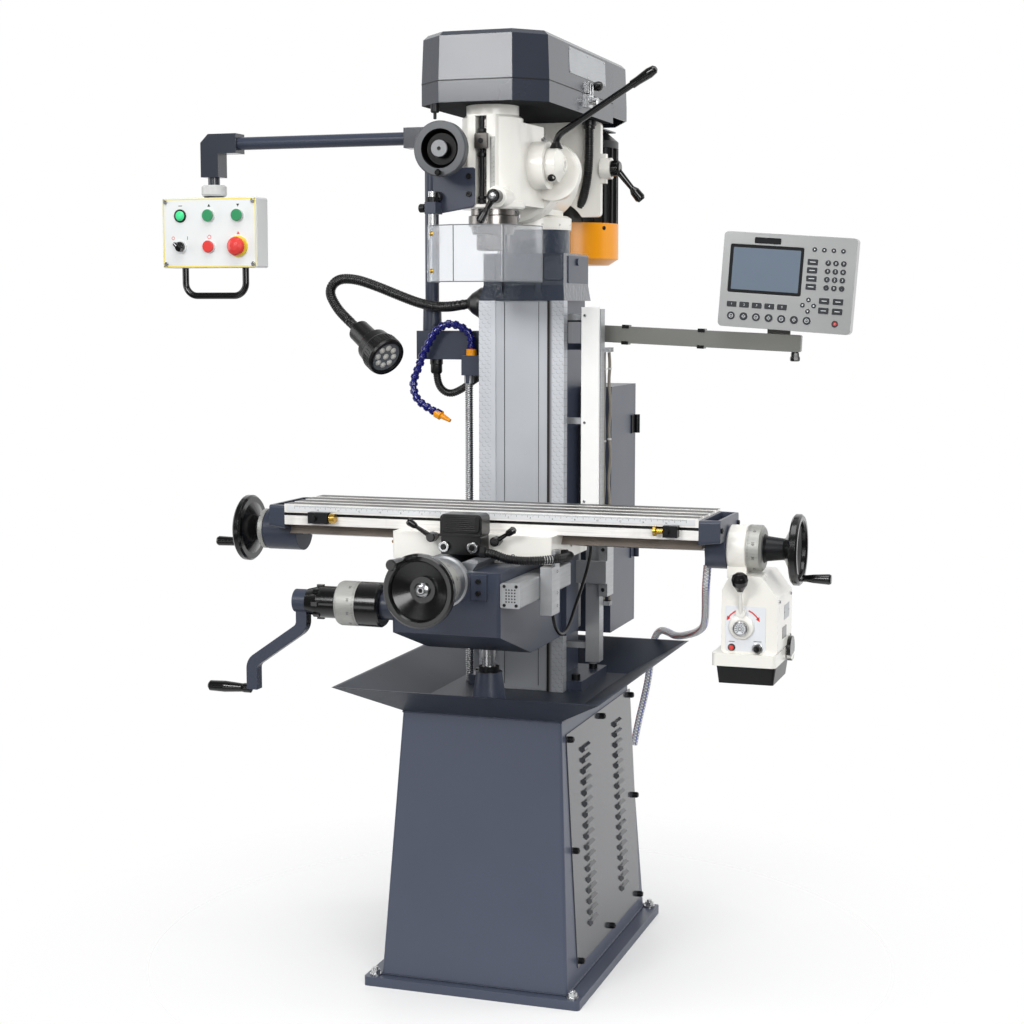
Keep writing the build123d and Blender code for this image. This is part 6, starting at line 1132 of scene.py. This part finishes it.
conduit_route = [(-238, 106, 1324), (-238, 106, 1298), (-230, 106, 1268), (-206, 106, 1254),
                 (-176, 106, 1266), (-140, 106, 1292), (-104, 106, 1312), (-72.5, 106, 1312)]
cable_routes = {
    "readout_cable_a": [(178, 92, 1354), (181, 92, 1325), (177, 93, 1290), (183, 92, 1235), (177, 93, 1180),
                        (184, 92, 1125), (177, 93, 1070), (182, 92, 1015), (177, 93, 960), (184, 92, 905),
                        (177, 93, 850), (182, 92, 797)],
    "readout_cable_b": [(167, 94, 1354), (166, 94, 1325), (168, 95, 1285), (165, 94, 1230), (168, 95, 1175),
                        (165, 94, 1120), (168, 95, 1065), (165, 94, 1010), (168, 95, 955), (165, 94, 900),
                        (168, 95, 845), (167, 94, 797)]}
hose = bmesh.new()
points = spline_points(conduit_route, 30)
corrugated(hose, points, 8.5, 0.5, 4.6, 16)
conduit = settle(hose, "post_conduit", "base", black_rubber)
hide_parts("column_cables")
ties = bmesh.new()
for name, route in cable_routes.items():
    points = spline_points(route, 10)
    sleeve = bmesh.new()
    tube(sleeve, points, [3.5] * len(points), 0, 12)
    cable = settle(sleeve, name, "base", cable_grey)
    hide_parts("column_cables")
    for point in points[8::34]:
        lathe(ties, facing(*point, above), [(-2, 3.6), (-2, 4.8), (2, 4.8), (2, 3.6)], 0, 16)
settle(ties, "cable_ties", "base", moulded)

# Drain hose: clear braided tube with a red and a blue thread, from the table's trough to the stand.
# It hangs in three lengths, from the table past the saddle and the knee.
braid, given, made = group("braided_wall", {
    "Tube": [0.8, 0.8, 0.8, 1], "Thread": [1.0, 1.0, 1.0, 1], "Pitch": 0.03})
flat = add(braid, "SeparateXYZ", Vector=add(braid, "UVMap").outputs[0]).outputs
masks = []
for way in ("ADD", "SUBTRACT"):
    run = sums(braid, way, sums(braid, "DIVIDE", flat["X"], given["Pitch"]), flat["Y"])
    wave = sums(braid, "PINGPONG", sums(braid, "MULTIPLY", run, 4), 0.5)
    masks.append(ramp(braid, wave, 0.06, 0.12, 1, 0))
thread = sums(braid, "MAXIMUM", *masks)
wire(braid, made["Colour"], mixed(braid, thread, given["Tube"], given["Thread"]))
wire(braid, made["Roughness"], ramp(braid, thread, 0, 1, 0.14, 0.4))
wire(braid, made["Normal"], bumped(braid, thread, 0.3, 0.0003))
clear_hose = finish("clear_hose", braid, {"Tube": tone("cfd3d6"), "Thread": tone("f4f4f2")},
                    Transmission_Weight=0.45, IOR=1.3)
red_thread = painted("red_thread", "c22a2a", "d05050", 0.1, 0.3)
blue_thread = painted("blue_thread", "2a3fb0", "5060c0", 0.1, 0.3)
threads = {1: 1, 7: 2, 13: 1, 19: 2}
drain_upper = [(459, -140, 918), (456, -140, 880), (446, -98, 846), (434, -44, 816), (420, 16, 786)]
drain_middle = [(420, 16, 786), (406, 76, 756), (384, 130, 734), (354, 186, 714), (322, 238, 700)]
drain_lower = [(322, 238, 700), (290, 290, 686), (258, 338, 688), (228, 384, 684), (206, 418, 662),
               (194, 428, 618), (190, 424, 560), (180, 416, 504), (168, 406, 446), (160, 400, 394)]
for name, route, upper_body, lower_body, end in (
        ("drain_hose_upper", drain_upper, "table", "saddle", "object"),
        ("drain_hose_middle", drain_middle, "saddle", "knee", "object"),
        ("drain_hose_lower", drain_lower, "knee", "base", "bare")):
    points = spline_points(route, 12)
    wall = bmesh.new()
    tube(wall, points, [8.5] * len(points), 0, 24, threads)
    hose = settle(wall, name + "_line", None, clear_hose, red_thread, blue_thread)
    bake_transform(hose)
    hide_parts(name)
